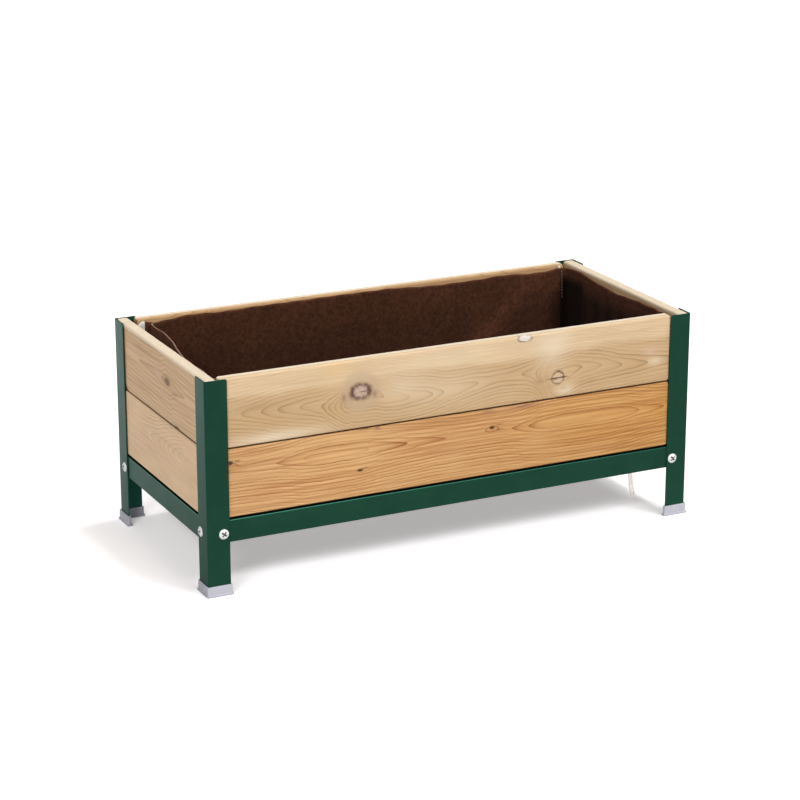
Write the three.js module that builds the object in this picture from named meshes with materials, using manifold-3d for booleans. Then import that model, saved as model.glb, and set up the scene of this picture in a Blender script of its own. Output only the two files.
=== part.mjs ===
// An elevated planter: a green steel angle stand on plastic foot caps, eight pine boards standing on the stand's
// rails, and a felt liner bag in a drained tray. Millimetres, +Z up, origin on the floor under the centre,
// +X to the right along the front and +Y to the back.
import * as THREE from 'three';
import { mergeVertices } from 'three/addons/utils/BufferGeometryUtils.js';
import Module from 'manifold-3d';

// Stand
const LENGTH = 920; // over the posts' outer faces, left to right
const DEPTH = 415; // over the posts' outer faces, front to back
const STEEL = 2; // sheet of the posts and rails
const BEND_RADIUS = 3; // outside of the folded corner
const POST_FLANGE = 40;
const POST_LENGTH = 368.5;
const POST_CLIP = 2.5; // corner cut off each flange at the top
const RAIL_CLEARANCE = 72.5; // from the top of a foot cap to the underside of the rail
const RAIL_HEIGHT = 40;
const RAIL_LEDGE = 40; // horizontal leg, which carries boards and tray
const SEAT = 0.3; // clearance between pieces that rest on each other
const MITRE_GAP = 0.5;

// Foot caps
const FOOT_SOLE = 4;
const FOOT_HEIGHT = 18.5;
const FOOT_WALL = 2;
const FOOT_LIP = 1.6; // how far the lip stands out of the wall
const FOOT_LIP_HEIGHT = 3.4;
const FOOT_FLARE = 1.2; // height over which the lip runs into the wall
const FOOT_ROUND = 2.4; // radius of the upright corners
const FOOT_FIT = 0.35; // play of the post in the cap

// Bolts and flange nuts
const BOLT_INSET = 29; // from the post's outer corner
const BOLT_RISE = 16.5; // above the underside of the rail
const BOLT_DIAMETER = 8;
const BOLT_HEAD = 17.4;
const BOLT_HEAD_HEIGHT = 4.2;
const BOLT_RIM = 0.8; // upright edge of the domed head
const BOLT_TAIL = 3; // thread past the nut
const RECESS_LENGTH = 8; // cross recess in the head
const RECESS_WIDTH = 2;
const RECESS_DEPTH = 2.2;
const BOLT_FIT = 0.35;
const NUT_ACROSS_FLATS = 13;
const NUT_HEIGHT = 8;
const NUT_COLLAR = 17.8;
const NUT_COLLAR_HEIGHT = 1.6;

// Boards
const BOARD_HEIGHT = 120;
const BOARD_THICKNESS = 20;
const BOARD_ROUND = 4; // long edges
const BOARD_CORNER = 4; // corners of the face
const BOARD_SETBACK = 1.2; // boards to the post flanges in front of them
const BOARD_LIFT = 0.9; // lower board to the rail under it
const BOARD_GAP = 0.9; // between the lower and the upper board
const BOARD_END_PLAY = 0.5; // side boards to the post flanges
const BOARD_END_GAP = 11; // long boards to the side boards
const FRONT_SHIFT = -5; // the front boards stand a little to the left

// Corner brackets and their screws
const BRACKET_FLANGE = 36;
const BRACKET_STEEL = 2;
const BRACKET_DROP = 32; // below the top of the upper board
const BRACKET_LIFT = 7.4; // above the rim of the tray
const SCREW_INSET = 25; // from the inner corner of the boards
const SCREW_DIAMETER = 4;
const SCREW_LENGTH = 18;
const SCREW_POINT = 4;
const SCREW_HEAD = 8;
const SCREW_HEAD_HEIGHT = 2.4;
const SCREW_FIT = 0.4;
const SCREW_SIDES = 8;

// Tray, spout and hose
const TRAY_STEEL = 1.2;
const TRAY_RIM = 24;
const TRAY_PLAY = 1; // to the boards
const SUMP_RADIUS = 16; // pressed hollow round the drain
const SUMP_DEPTH = 3.2;
const DRAIN_FROM_RIGHT = 54; // from the boards' inner faces
const DRAIN_FROM_FRONT = 46;
const SPOUT_FLANGE = 24;
const SPOUT_FLANGE_HEIGHT = 2;
const SPOUT_NECK = 13;
const SPOUT_COLLAR = 18;
const SPOUT_COLLAR_HEIGHT = 5;
const SPOUT_FIT = 0.4;
const HOSE_BORE = 6;
const HOSE_DIAMETER = 9;
const HOSE_END = 20; // height of the cut end
const HOSE_SWAY = 10; // how far the end hangs to the right of the spout

// Liner bag
const FELT = 2.5;
const LINER_PLAY = 6; // to the boards, clear of brackets and screw heads
const LINER_DROP = 5.5; // mean top edge below the board tops
const LINER_WAVE = 2.6; // rise and fall of the top edge
const LINER_CORNER = 16;
const LINER_LEAN = 30; // the left wall's top at the back corner
const LINER_SLACK = 14; // the right wall's top at the back corner
const LINER_SLACK_LENGTH = 62;
const LINER_FOLD = 3.5; // depth of the walls' soft folds

const GREEN = { color: 0x24493a, roughness: 0.45, metalness: 0.1 };
const PINE = { color: 0xdcb98c, roughness: 0.6, metalness: 0 };
const HONEY_PINE = { color: 0xcf9d68, roughness: 0.6, metalness: 0 };
const GREY_PLASTIC = { color: 0xb9b7c4, roughness: 0.5, metalness: 0 };
const ZINC = { color: 0xd5d7da, roughness: 0.25, metalness: 1 };
const GALVANISED = { color: 0xb4b9bc, roughness: 0.4, metalness: 1 };
const FELT_BROWN = { color: 0x3f271e, roughness: 0.95, metalness: 0 };
const BLACK_PLASTIC = { color: 0x24262a, roughness: 0.5, metalness: 0 };
const CLEAR_PVC = { color: 0xe8dedb, roughness: 0.2, metalness: 0 };

// Heights and faces that follow from the sizes above
const POST_BOTTOM = FOOT_SOLE + SEAT;
const RAIL_BOTTOM = FOOT_HEIGHT + RAIL_CLEARANCE;
const RAIL_TOP = RAIL_BOTTOM + RAIL_HEIGHT;
const LOWER_BOARD = RAIL_TOP + BOARD_LIFT;
const UPPER_BOARD = LOWER_BOARD + BOARD_HEIGHT + BOARD_GAP;
const BOARD_TOP = UPPER_BOARD + BOARD_HEIGHT;
const RAIL_FACE = STEEL + SEAT; // outer face of the rails, in from the post's face
const BOARD_FACE = STEEL + BOARD_SETBACK; // outer face of the boards
const INNER_FACE = BOARD_FACE + BOARD_THICKNESS; // inner face of the boards
const INNER_X = LENGTH / 2 - INNER_FACE;
const INNER_Y = DEPTH / 2 - INNER_FACE;
const BOLT_Z = RAIL_BOTTOM + BOLT_RISE;
const BOLT_GRIP = 2 * STEEL + SEAT;
const SCREW_HOLE = SCREW_DIAMETER + 2 * SCREW_FIT;
const SCREW_HEIGHTS = [LOWER_BOARD + BOARD_HEIGHT / 2, UPPER_BOARD + BOARD_HEIGHT / 2];
const TRAY_BOTTOM = RAIL_TOP + SEAT;
const TRAY_FLOOR = TRAY_BOTTOM + TRAY_STEEL;
const BRACKET_BOTTOM = TRAY_BOTTOM + TRAY_RIM + BRACKET_LIFT;
const BRACKET_LENGTH = BOARD_TOP - BRACKET_DROP - BRACKET_BOTTOM;
const DRAIN = new THREE.Vector2(INNER_X - DRAIN_FROM_RIGHT, DRAIN_FROM_FRONT - INNER_Y);
const SPOUT_TOP = TRAY_FLOOR - SUMP_DEPTH + SEAT + SPOUT_FLANGE_HEIGHT;
const SPOUT_BOTTOM = TRAY_BOTTOM - SUMP_DEPTH - SEAT - SPOUT_COLLAR_HEIGHT;
const LINER_BOTTOM = TRAY_FLOOR + SEAT;

const X = new THREE.Vector3(1, 0, 0);
const Y = new THREE.Vector3(0, 1, 0);
const Z = new THREE.Vector3(0, 0, 1);
const QUARTER = Math.PI / 2;
const LENGTHWISE = new THREE.Matrix4().makeBasis(Y, Z, X); // a section in Y and Z, drawn out along X
const ACROSS = new THREE.Matrix4().makeBasis(X, Z, Y.clone().negate()); // a face in X and Z, drawn out along -Y

const wasm = await Module();
wasm.setup();

// A closed geometry as a solid that can be joined and cut.
function solid(geometry) {
  const bare = geometry.clone();
  bare.deleteAttribute('normal');
  bare.deleteAttribute('uv');
  const merged = mergeVertices(bare, 1e-4);
  return new wasm.Manifold(
    new wasm.Mesh({
      numProp: 3,
      vertProperties: new Float32Array(merged.attributes.position.array),
      triVerts: new Uint32Array(merged.index.array),
    }),
  );
}

// A solid as a geometry with its own flat normals.
function geometryOf(body) {
  const { vertProperties, triVerts } = body.getMesh();
  const geometry = new THREE.BufferGeometry();
  geometry.setAttribute('position', new THREE.BufferAttribute(vertProperties.slice(), 3));
  geometry.setIndex(new THREE.BufferAttribute(triVerts.slice(), 1));
  geometry.computeVertexNormals();
  return geometry;
}

function named(name, geometry, look) {
  const mesh = new THREE.Mesh(geometry, new THREE.MeshStandardMaterial(look));
  mesh.name = name;
  return mesh;
}

function box(size, corner) {
  const geometry = new THREE.BoxGeometry(size.x, size.y, size.z);
  return solid(geometry.translate(corner.x + size.x / 2, corner.y + size.y / 2, corner.z + size.z / 2));
}

// An outline in X and Y drawn up to the given height.
function prism(outline, height) {
  return new THREE.ExtrudeGeometry(new THREE.Shape(outline), { depth: height, bevelEnabled: false });
}

// An upright cylinder standing on Z = 0.
function rod(diameter, height, sides = 16) {
  return new THREE.CylinderGeometry(diameter / 2, diameter / 2, height, sides)
    .rotateX(QUARTER)
    .translate(0, 0, height / 2);
}

// A profile of radius and height turned round the Z axis.
function turned(profile, sides) {
  const points = profile.map(([radius, height]) => new THREE.Vector2(radius, height));
  return new THREE.LatheGeometry(points, sides).rotateX(QUARTER);
}

function arc(centreX, centreY, radius, from, to, steps) {
  return Array.from({ length: steps + 1 }, (_, i) => {
    const angle = from + ((to - from) * i) / steps;
    return new THREE.Vector2(centreX + radius * Math.cos(angle), centreY + radius * Math.sin(angle));
  });
}

// Section of a folded angle: its outer corner at the origin, one leg along each axis.
function angleSection(legX, legY, sheet, bend) {
  const inner = Math.max(bend - sheet, 0.2);
  return [
    ...arc(bend, bend, bend, 2 * QUARTER, 3 * QUARTER, 4),
    new THREE.Vector2(legX, 0),
    new THREE.Vector2(legX, sheet),
    ...arc(sheet + inner, sheet + inner, inner, 3 * QUARTER, 2 * QUARTER, 3),
    new THREE.Vector2(sheet, legY),
    new THREE.Vector2(0, legY),
  ];
}

function roundedRectangle(width, height, radius) {
  const corners = [
    [radius, radius],
    [width - radius, radius],
    [width - radius, height - radius],
    [radius, height - radius],
  ];
  return corners.flatMap(([x, y], i) => arc(x, y, radius, (i + 2) * QUARTER, (i + 3) * QUARTER, 4));
}

// A mesh's geometry turned so that its own Z axis points into the stand through the flange in X or in Y.
const INTO_FLANGE = {
  x: new THREE.Matrix4().makeRotationX(-QUARTER),
  y: new THREE.Matrix4().makeRotationY(QUARTER),
};

// A place on a corner's X or Y flange: so far along the leg, so far in, at a height.
function onFlange(leg, along, inwards, height) {
  return leg === 'x' ? new THREE.Vector3(along, inwards, height) : new THREE.Vector3(inwards, along, height);
}

function placed(geometry, leg, along, inwards, height) {
  const place = onFlange(leg, along, inwards, height);
  return geometry.clone().applyMatrix4(INTO_FLANGE[leg]).translate(place.x, place.y, place.z);
}

// Post: a folded angle with clipped top corners and a bolt hole in each flange.
function post() {
  let body = solid(prism(angleSection(POST_FLANGE, POST_FLANGE, STEEL, BEND_RADIUS), POST_LENGTH));
  const hole = rod(BOLT_DIAMETER + 2 * BOLT_FIT, 4 * STEEL, 12).translate(0, 0, -2 * STEEL);
  const clip = new THREE.BoxGeometry(POST_CLIP * Math.SQRT2, POST_CLIP * Math.SQRT2, 4 * STEEL).rotateZ(QUARTER / 2);
  for (const leg of ['x', 'y']) {
    body = body.subtract(solid(placed(hole, leg, BOLT_INSET, 0, BOLT_Z - POST_BOTTOM)));
    body = body.subtract(solid(placed(clip, leg, POST_FLANGE, 0, POST_LENGTH)));
  }
  return geometryOf(body).translate(0, 0, POST_BOTTOM);
}

// Outline of the angle grown all round, with its five outward corners rounded.
function grownAngle(grow, round) {
  const low = -grow;
  const high = POST_FLANGE + grow;
  const web = STEEL + grow;
  const small = Math.min(round, (web - low) / 2 - 0.1);
  return [
    ...arc(low + round, low + round, round, 2 * QUARTER, 3 * QUARTER, 3),
    ...arc(high - small, low + small, small, 3 * QUARTER, 4 * QUARTER, 3),
    ...arc(high - small, web - small, small, 0, QUARTER, 3),
    new THREE.Vector2(web, web),
    ...arc(web - small, high - small, small, 0, QUARTER, 3),
    ...arc(low + small, high - small, small, QUARTER, 2 * QUARTER, 3),
  ];
}

// Outlines of equal point count at rising heights, skinned and capped.
function lofted(levels) {
  const count = levels[0].outline.length;
  const positions = levels.flatMap(({ outline, height }) => outline.flatMap((p) => [p.x, p.y, height]));
  const index = [];
  for (let level = 0; level + 1 < levels.length; level += 1) {
    for (let i = 0; i < count; i += 1) {
      const a = level * count + i;
      const b = level * count + ((i + 1) % count);
      index.push(a, b, b + count, a, b + count, a + count);
    }
  }
  const cap = (outline) => THREE.ShapeUtils.triangulateShape(outline, []);
  const last = (levels.length - 1) * count;
  cap(levels[0].outline).forEach(([a, b, c]) => index.push(a, c, b));
  cap(levels.at(-1).outline).forEach(([a, b, c]) => index.push(last + a, last + b, last + c));
  const geometry = new THREE.BufferGeometry();
  geometry.setAttribute('position', new THREE.Float32BufferAttribute(positions, 3));
  geometry.setIndex(index);
  return geometry;
}

// Foot cap: a shoe round the end of the post with a flared lip on the floor.
function foot() {
  const wall = FOOT_FIT + FOOT_WALL;
  const lip = wall + FOOT_LIP;
  const shoe = lofted([
    { outline: grownAngle(lip - 0.4, FOOT_ROUND), height: 0 },
    { outline: grownAngle(lip, FOOT_ROUND), height: 0.4 },
    { outline: grownAngle(lip, FOOT_ROUND), height: FOOT_LIP_HEIGHT },
    { outline: grownAngle(wall, FOOT_ROUND), height: FOOT_LIP_HEIGHT + FOOT_FLARE },
    { outline: grownAngle(wall, FOOT_ROUND), height: FOOT_HEIGHT },
  ]);
  const pocket = prism(grownAngle(FOOT_FIT, FOOT_FIT), FOOT_HEIGHT).translate(0, 0, FOOT_SOLE);
  return geometryOf(solid(shoe).subtract(solid(pocket)));
}

// Bolt: a domed head with a cross recess and a plain shank, pointing up.
function bolt() {
  const radius = BOLT_HEAD / 2;
  const dome = BOLT_HEAD_HEIGHT - BOLT_RIM;
  const sphere = (radius * radius + dome * dome) / (2 * dome);
  const half = Math.asin(radius / sphere);
  const rings = 4;
  const cap = Array.from({ length: rings }, (_, i) => {
    const angle = (half * i) / (rings - 1);
    return [sphere * Math.sin(angle), -BOLT_HEAD_HEIGHT + sphere * (1 - Math.cos(angle))];
  });
  const head = solid(turned([...cap, [radius, 0], [0, 0]], 20)).translate(0, 0, -SEAT);
  const crown = -SEAT - BOLT_HEAD_HEIGHT;
  const slot = (x, y) => solid(new THREE.BoxGeometry(x, y, 2 * RECESS_DEPTH).translate(0, 0, crown));
  const cross = slot(RECESS_LENGTH, RECESS_WIDTH).add(slot(RECESS_WIDTH, RECESS_LENGTH));
  const reach = BOLT_GRIP + SEAT + NUT_HEIGHT + BOLT_TAIL;
  const shank = solid(rod(BOLT_DIAMETER, reach + 2 * SEAT, 12).translate(0, 0, -2 * SEAT));
  return geometryOf(head.subtract(cross).add(shank));
}

// Flange nut, standing on its collar.
function nut() {
  const across = NUT_ACROSS_FLATS / Math.cos(Math.PI / 6);
  const hexagon = solid(rod(across, NUT_HEIGHT, 6));
  const collar = solid(
    turned(
      [
        [0, 0],
        [NUT_COLLAR / 2, 0],
        [NUT_COLLAR / 2, NUT_COLLAR_HEIGHT / 2],
        [NUT_ACROSS_FLATS / 2, 2 * NUT_COLLAR_HEIGHT],
        [0, 2 * NUT_COLLAR_HEIGHT],
      ],
      12,
    ),
  );
  const bore = solid(rod(BOLT_DIAMETER + 2 * BOLT_FIT, 3 * NUT_HEIGHT, 12).translate(0, 0, -NUT_HEIGHT));
  return geometryOf(hexagon.add(collar).subtract(bore));
}

// Bracket: a plain folded angle with two holes in each leg, standing in the boards' inner corner.
function bracket() {
  let body = solid(prism(angleSection(BRACKET_FLANGE, BRACKET_FLANGE, BRACKET_STEEL, BRACKET_STEEL), BRACKET_LENGTH));
  const hole = rod(SCREW_HOLE, 4 * BRACKET_STEEL, SCREW_SIDES).translate(0, 0, -2 * BRACKET_STEEL);
  for (const leg of ['x', 'y']) {
    for (const height of SCREW_HEIGHTS) {
      body = body.subtract(solid(placed(hole, leg, SCREW_INSET - SEAT, 0, height - BRACKET_BOTTOM)));
    }
  }
  return geometryOf(body);
}

// Pan-head screw, its head up and its point down; Z = 0 is the underside of the head.
function screw() {
  const core = SCREW_DIAMETER / 2;
  const head = SCREW_HEAD / 2;
  return turned(
    [
      [0, -SCREW_LENGTH],
      [core, -SCREW_LENGTH + SCREW_POINT],
      [core, 0],
      [head, 0],
      [head, SCREW_HEAD_HEIGHT / 2],
      [head * 0.7, SCREW_HEAD_HEIGHT],
      [0, SCREW_HEAD_HEIGHT],
    ],
    SCREW_SIDES,
  );
}

// Rail: an angle along X, its outer face on Y = 0, mitred at both ends, with a bolt hole at each.
function rail(span) {
  const section = angleSection(RAIL_HEIGHT, RAIL_LEDGE, STEEL, BEND_RADIUS);
  const upright = section.map((p) => new THREE.Vector2(p.y, RAIL_HEIGHT - p.x)).reverse();
  const run = span - 2 * RAIL_FACE;
  let body = solid(prism(upright, run).applyMatrix4(LENGTHWISE));
  const reach = RAIL_LEDGE + 1;
  const mitre = prism(
    [
      new THREE.Vector2(-1, -1),
      new THREE.Vector2(MITRE_GAP - 1, -1),
      new THREE.Vector2(MITRE_GAP + reach, reach),
      new THREE.Vector2(-1, reach),
    ],
    2 * RAIL_HEIGHT,
  );
  const hole = rod(BOLT_DIAMETER + 2 * BOLT_FIT, 4 * STEEL, 12).translate(0, 0, -2 * STEEL);
  const mirrored = mitre.clone().rotateX(2 * QUARTER).rotateZ(2 * QUARTER).translate(run, 0, 2 * RAIL_HEIGHT);
  body = body.subtract(solid(mitre)).subtract(solid(mirrored));
  for (const along of [BOLT_INSET - RAIL_FACE, run - BOLT_INSET + RAIL_FACE]) {
    body = body.subtract(solid(placed(hole, 'x', along, 0, BOLT_RISE)));
  }
  return geometryOf(body).translate(-run / 2, 0, RAIL_BOTTOM);
}

// Board along X with rounded edges and corners; blind screw holes in its inner face at the given places along it.
function board(length, screwsAt) {
  const section = roundedRectangle(BOARD_THICKNESS, BOARD_HEIGHT, BOARD_ROUND);
  const face = roundedRectangle(length, BOARD_HEIGHT, BOARD_CORNER);
  const slab = prism(face, BOARD_THICKNESS).applyMatrix4(ACROSS).translate(0, BOARD_THICKNESS, 0);
  let body = solid(prism(section, length).applyMatrix4(LENGTHWISE)).intersect(solid(slab));
  const deep = SCREW_LENGTH - BRACKET_STEEL - 2 * SEAT + SCREW_FIT;
  const hole = rod(SCREW_HOLE, 2 * deep, SCREW_SIDES).translate(0, 0, -deep);
  for (const along of screwsAt) {
    body = body.subtract(solid(placed(hole, 'x', along, BOARD_THICKNESS, BOARD_HEIGHT / 2)));
  }
  return geometryOf(body);
}

// Tray: a shallow pan with a pressed hollow and a drain hole.
function tray() {
  const length = 2 * (INNER_X - TRAY_PLAY);
  const width = 2 * (INNER_Y - TRAY_PLAY);
  const outer = box(
    new THREE.Vector3(length, width, TRAY_RIM),
    new THREE.Vector3(-length / 2, -width / 2, TRAY_BOTTOM),
  );
  const inner = box(
    new THREE.Vector3(length - 2 * TRAY_STEEL, width - 2 * TRAY_STEEL, TRAY_RIM),
    new THREE.Vector3(TRAY_STEEL - length / 2, TRAY_STEEL - width / 2, TRAY_FLOOR),
  );
  const dish = (radius, bottom) =>
    solid(rod(2 * radius, SUMP_DEPTH + TRAY_STEEL / 2, 24).translate(DRAIN.x, DRAIN.y, bottom));
  const hole = rod(SPOUT_NECK + 2 * SPOUT_FIT, 4 * SUMP_DEPTH);
  hole.translate(DRAIN.x, DRAIN.y, TRAY_BOTTOM - 2 * SUMP_DEPTH);
  const body = outer
    .subtract(inner)
    .add(dish(SUMP_RADIUS + TRAY_STEEL, TRAY_BOTTOM - SUMP_DEPTH))
    .subtract(dish(SUMP_RADIUS, TRAY_FLOOR - SUMP_DEPTH))
    .subtract(solid(hole));
  return geometryOf(body);
}

// Spout: a flange in the hollow, a neck through the hole and a collar under the tray, bored through.
function spout() {
  const bore = HOSE_BORE / 2;
  const collarTop = SPOUT_BOTTOM + SPOUT_COLLAR_HEIGHT;
  const flangeBottom = SPOUT_TOP - SPOUT_FLANGE_HEIGHT;
  const profile = [
    [bore, SPOUT_BOTTOM],
    [SPOUT_COLLAR / 2 - 1, SPOUT_BOTTOM],
    [SPOUT_COLLAR / 2, collarTop],
    [SPOUT_NECK / 2, collarTop],
    [SPOUT_NECK / 2, flangeBottom],
    [SPOUT_FLANGE / 2, flangeBottom],
    [SPOUT_FLANGE / 2, SPOUT_TOP],
    [bore, SPOUT_TOP],
    [bore, SPOUT_BOTTOM],
  ];
  return turned(profile, 20).translate(DRAIN.x, DRAIN.y, 0);
}

// Hose: from the spout straight down, swaying to the right, to its cut end above the floor.
function hose() {
  const top = SPOUT_BOTTOM - SEAT;
  const drop = top - HOSE_END;
  const route = new THREE.CatmullRomCurve3(
    [0, 0.2, 0.45, 0.7, 1].map(
      (share) => new THREE.Vector3(DRAIN.x + HOSE_SWAY * share ** 1.6, DRAIN.y, top - drop * share),
    ),
  );
  const steps = Math.ceil(drop / (2 * HOSE_DIAMETER));
  const section = new THREE.Shape(arc(0, 0, HOSE_DIAMETER / 2, 0, 4 * QUARTER, 10).slice(0, -1));
  return new THREE.ExtrudeGeometry(section, { steps, extrudePath: route });
}

// Plan of the bag: a rectangle with rounded corners, walked from the back left corner towards the back right.
function linerPlan(halfX, halfY, alongX, alongY, round) {
  const turns = 4;
  const wall = (from, to, parts) =>
    Array.from({ length: parts - 1 }, (_, i) => from.clone().lerp(to, (i + 1) / parts));
  const centres = [
    [round - halfX, halfY - round],
    [halfX - round, halfY - round],
    [halfX - round, round - halfY],
    [round - halfX, round - halfY],
  ];
  const bends = centres.map(([x, y], i) => arc(x, y, round, (2 - i) * QUARTER, (1 - i) * QUARTER, turns));
  const parts = [alongX, alongY, alongX, alongY];
  return bends.flatMap((bend, i) => [...bend, ...wall(bend.at(-1), bends[(i + 1) % 4][0], parts[i])]);
}

// How far the bag's wall stands in from its straight plan at the top, for a point of the plan.
function linerSag(point, halfX, halfY) {
  const back = (point.y + halfY) / (2 * halfY);
  const left = (halfX - point.x) / (2 * halfX);
  const lean = LINER_LEAN * back ** 1.3 * left ** 12;
  const slackFrom = halfY - LINER_SLACK_LENGTH;
  const slack = LINER_SLACK * THREE.MathUtils.smoothstep(point.y, slackFrom, halfY) * (1 - left) ** 12;
  const foldX = LINER_FOLD * (0.5 - 0.5 * Math.cos(point.y / 31 + 0.6));
  const foldY = LINER_FOLD * (0.5 - 0.5 * Math.cos(point.x / 47 + 1.1));
  const inX = Math.abs(2 * left - 1) ** 24;
  const inY = Math.abs(2 * back - 1) ** 24;
  return new THREE.Vector2(
    lean - slack - Math.sign(point.x) * foldX * inX,
    -Math.sign(point.y) * foldY * inY,
  );
}

// Liner: a felt bag, open at the top, its walls leaning and folding more the higher they rise.
function liner() {
  const halfX = INNER_X - LINER_PLAY;
  const halfY = INNER_Y - LINER_PLAY;
  const height = BOARD_TOP - LINER_DROP - LINER_BOTTOM;
  const levels = 5;
  const skin = (inset, floor) => {
    const plan = linerPlan(halfX - inset, halfY - inset, 22, 12, LINER_CORNER - inset);
    const rings = Array.from({ length: levels }, (_, i) => {
      const share = i / (levels - 1);
      return plan.map((p) => {
        const sag = linerSag(p, halfX, halfY).multiplyScalar(share ** 1.5);
        const wave = LINER_WAVE * (Math.sin(p.x / 57 + 1.9) + 0.6 * Math.sin(p.x / 23 + p.y / 29));
        const top = LINER_BOTTOM + height + wave;
        return [p.x + sag.x, p.y + sag.y, THREE.MathUtils.lerp(floor, top, share)];
      });
    });
    return { plan, rings };
  };
  const outer = skin(0, LINER_BOTTOM);
  const inner = skin(FELT, LINER_BOTTOM + FELT);
  const count = outer.plan.length;
  const index = [];
  const strip = (from, to) => {
    for (let i = 0; i < count; i += 1) {
      const j = (i + 1) % count;
      index.push(from + i, to + i, to + j, from + i, to + j, from + j);
    }
  };
  const innerStart = levels * count;
  for (let level = 0; level + 1 < levels; level += 1) {
    strip(level * count, (level + 1) * count);
    strip(innerStart + (level + 1) * count, innerStart + level * count);
  }
  strip((levels - 1) * count, innerStart + (levels - 1) * count);
  const floor = THREE.ShapeUtils.triangulateShape(outer.plan.slice().reverse(), []);
  floor.forEach((corners) => {
    const [a, b, c] = corners.map((i) => count - 1 - i);
    index.push(a, c, b);
    index.push(innerStart + a, innerStart + b, innerStart + c);
  });
  const geometry = new THREE.BufferGeometry();
  const positions = [...outer.rings, ...inner.rings].flat(2);
  geometry.setAttribute('position', new THREE.Float32BufferAttribute(positions, 3));
  geometry.setIndex(index);
  return geometryOf(solid(geometry));
}

// One corner of the stand, in its own frame: the outer corner at the origin, a flange along X and one along Y.
function corner(name, sides) {
  const group = new THREE.Group();
  group.add(named(`post_${name}`, post(), GREEN));
  group.add(named(`foot_cap_${name}`, foot(), GREY_PLASTIC));
  const seat = INNER_FACE + SEAT;
  group.add(named(`corner_bracket_${name}`, bracket().translate(seat, seat, BRACKET_BOTTOM), GALVANISED));
  const headSeat = seat + BRACKET_STEEL + SEAT;
  const inwardScrew = screw();
  for (const leg of ['x', 'y']) {
    const side = sides[leg];
    group.add(named(`bolt_${name}_${side}`, placed(bolt(), leg, BOLT_INSET, 0, BOLT_Z), ZINC));
    group.add(named(`nut_${name}_${side}`, placed(nut(), leg, BOLT_INSET, BOLT_GRIP + SEAT, BOLT_Z), ZINC));
    ['lower', 'upper'].forEach((row, i) => {
      const geometry = placed(inwardScrew, leg, INNER_FACE + SCREW_INSET, headSeat, SCREW_HEIGHTS[i]);
      group.add(named(`screw_${name}_${side}_${row}`, geometry, ZINC));
    });
  }
  return group;
}

// One side of the stand, its face on Y = 0 and X along it: a rail and two boards on it.
function side(name, span, boardLength, boardShift, looks) {
  const group = new THREE.Group();
  group.add(named(`rail_${name}`, rail(span).translate(0, RAIL_FACE, 0), GREEN));
  const start = boardShift - boardLength / 2;
  const reach = span / 2 - INNER_FACE - SCREW_INSET;
  const geometry = board(boardLength, [-reach - start, reach - start]);
  group.add(named(`board_${name}_lower`, geometry.clone().translate(start, BOARD_FACE, LOWER_BOARD), looks.lower));
  group.add(named(`board_${name}_upper`, geometry.translate(start, BOARD_FACE, UPPER_BOARD), looks.upper));
  return group;
}

function turnedGroup(group, x, y, quarters) {
  group.position.set(x, y, 0);
  group.rotation.z = quarters * QUARTER;
  return group;
}

const planter = new THREE.Group();
planter.name = 'elevated_planter';

const halfLength = LENGTH / 2;
const halfDepth = DEPTH / 2;
const longBoard = 2 * (INNER_X - BOARD_END_GAP);
const sideBoard = DEPTH - 2 * (STEEL + BOARD_END_PLAY);
const plain = { lower: PINE, upper: PINE };
const front = { lower: HONEY_PINE, upper: PINE };

planter.add(turnedGroup(corner('front_left', { x: 'front', y: 'left' }), -halfLength, -halfDepth, 0));
planter.add(turnedGroup(corner('front_right', { x: 'right', y: 'front' }), halfLength, -halfDepth, 1));
planter.add(turnedGroup(corner('back_right', { x: 'back', y: 'right' }), halfLength, halfDepth, 2));
planter.add(turnedGroup(corner('back_left', { x: 'left', y: 'back' }), -halfLength, halfDepth, 3));

planter.add(turnedGroup(side('front', LENGTH, longBoard, FRONT_SHIFT, front), 0, -halfDepth, 0));
planter.add(turnedGroup(side('right', DEPTH, sideBoard, 0, plain), halfLength, 0, 1));
planter.add(turnedGroup(side('back', LENGTH, longBoard, 0, plain), 0, halfDepth, 2));
planter.add(turnedGroup(side('left', DEPTH, sideBoard, 0, plain), -halfLength, 0, 3));

planter.add(named('tray', tray(), GALVANISED));
planter.add(named('drain_spout', spout(), BLACK_PLASTIC));
planter.add(named('drain_hose', hose(), CLEAR_PVC));
planter.add(named('liner', liner(), FELT_BROWN));

export default planter;
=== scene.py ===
"""Elevated planter: folded steel posts and rails round a box of pine boards, lined with a felt bag.

Each piece is a surface worked out from the packed model's own boxes, in metres, in the model's frame.
"""

import functools
import inspect
import math
from typing import NamedTuple

import bmesh
import bpy
import numpy as np
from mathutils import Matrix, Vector


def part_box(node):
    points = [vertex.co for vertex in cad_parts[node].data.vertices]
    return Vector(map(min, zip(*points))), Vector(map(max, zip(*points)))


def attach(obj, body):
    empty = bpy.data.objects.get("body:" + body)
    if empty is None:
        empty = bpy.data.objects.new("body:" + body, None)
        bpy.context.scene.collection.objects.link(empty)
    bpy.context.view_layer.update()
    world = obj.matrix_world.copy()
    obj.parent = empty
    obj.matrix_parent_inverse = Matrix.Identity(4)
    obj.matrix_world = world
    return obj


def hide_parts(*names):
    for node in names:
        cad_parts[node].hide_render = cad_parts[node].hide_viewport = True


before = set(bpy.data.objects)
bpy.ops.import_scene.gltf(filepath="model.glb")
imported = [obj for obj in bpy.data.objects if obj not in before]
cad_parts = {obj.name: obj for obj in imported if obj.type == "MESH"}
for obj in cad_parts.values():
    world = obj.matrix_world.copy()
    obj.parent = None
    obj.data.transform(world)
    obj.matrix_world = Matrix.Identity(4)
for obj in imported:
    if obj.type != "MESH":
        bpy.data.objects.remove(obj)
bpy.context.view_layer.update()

bl_info = {
    "name": "Elevated planter",
    "version": (1, 0, 0),
    "blender": (4, 5, 0),
    "location": "3D View > Sidebar > Planter",
    "description": "Builds the pieces and finishes of an elevated planter round its packed model",
    "category": "Object",
}

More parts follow.
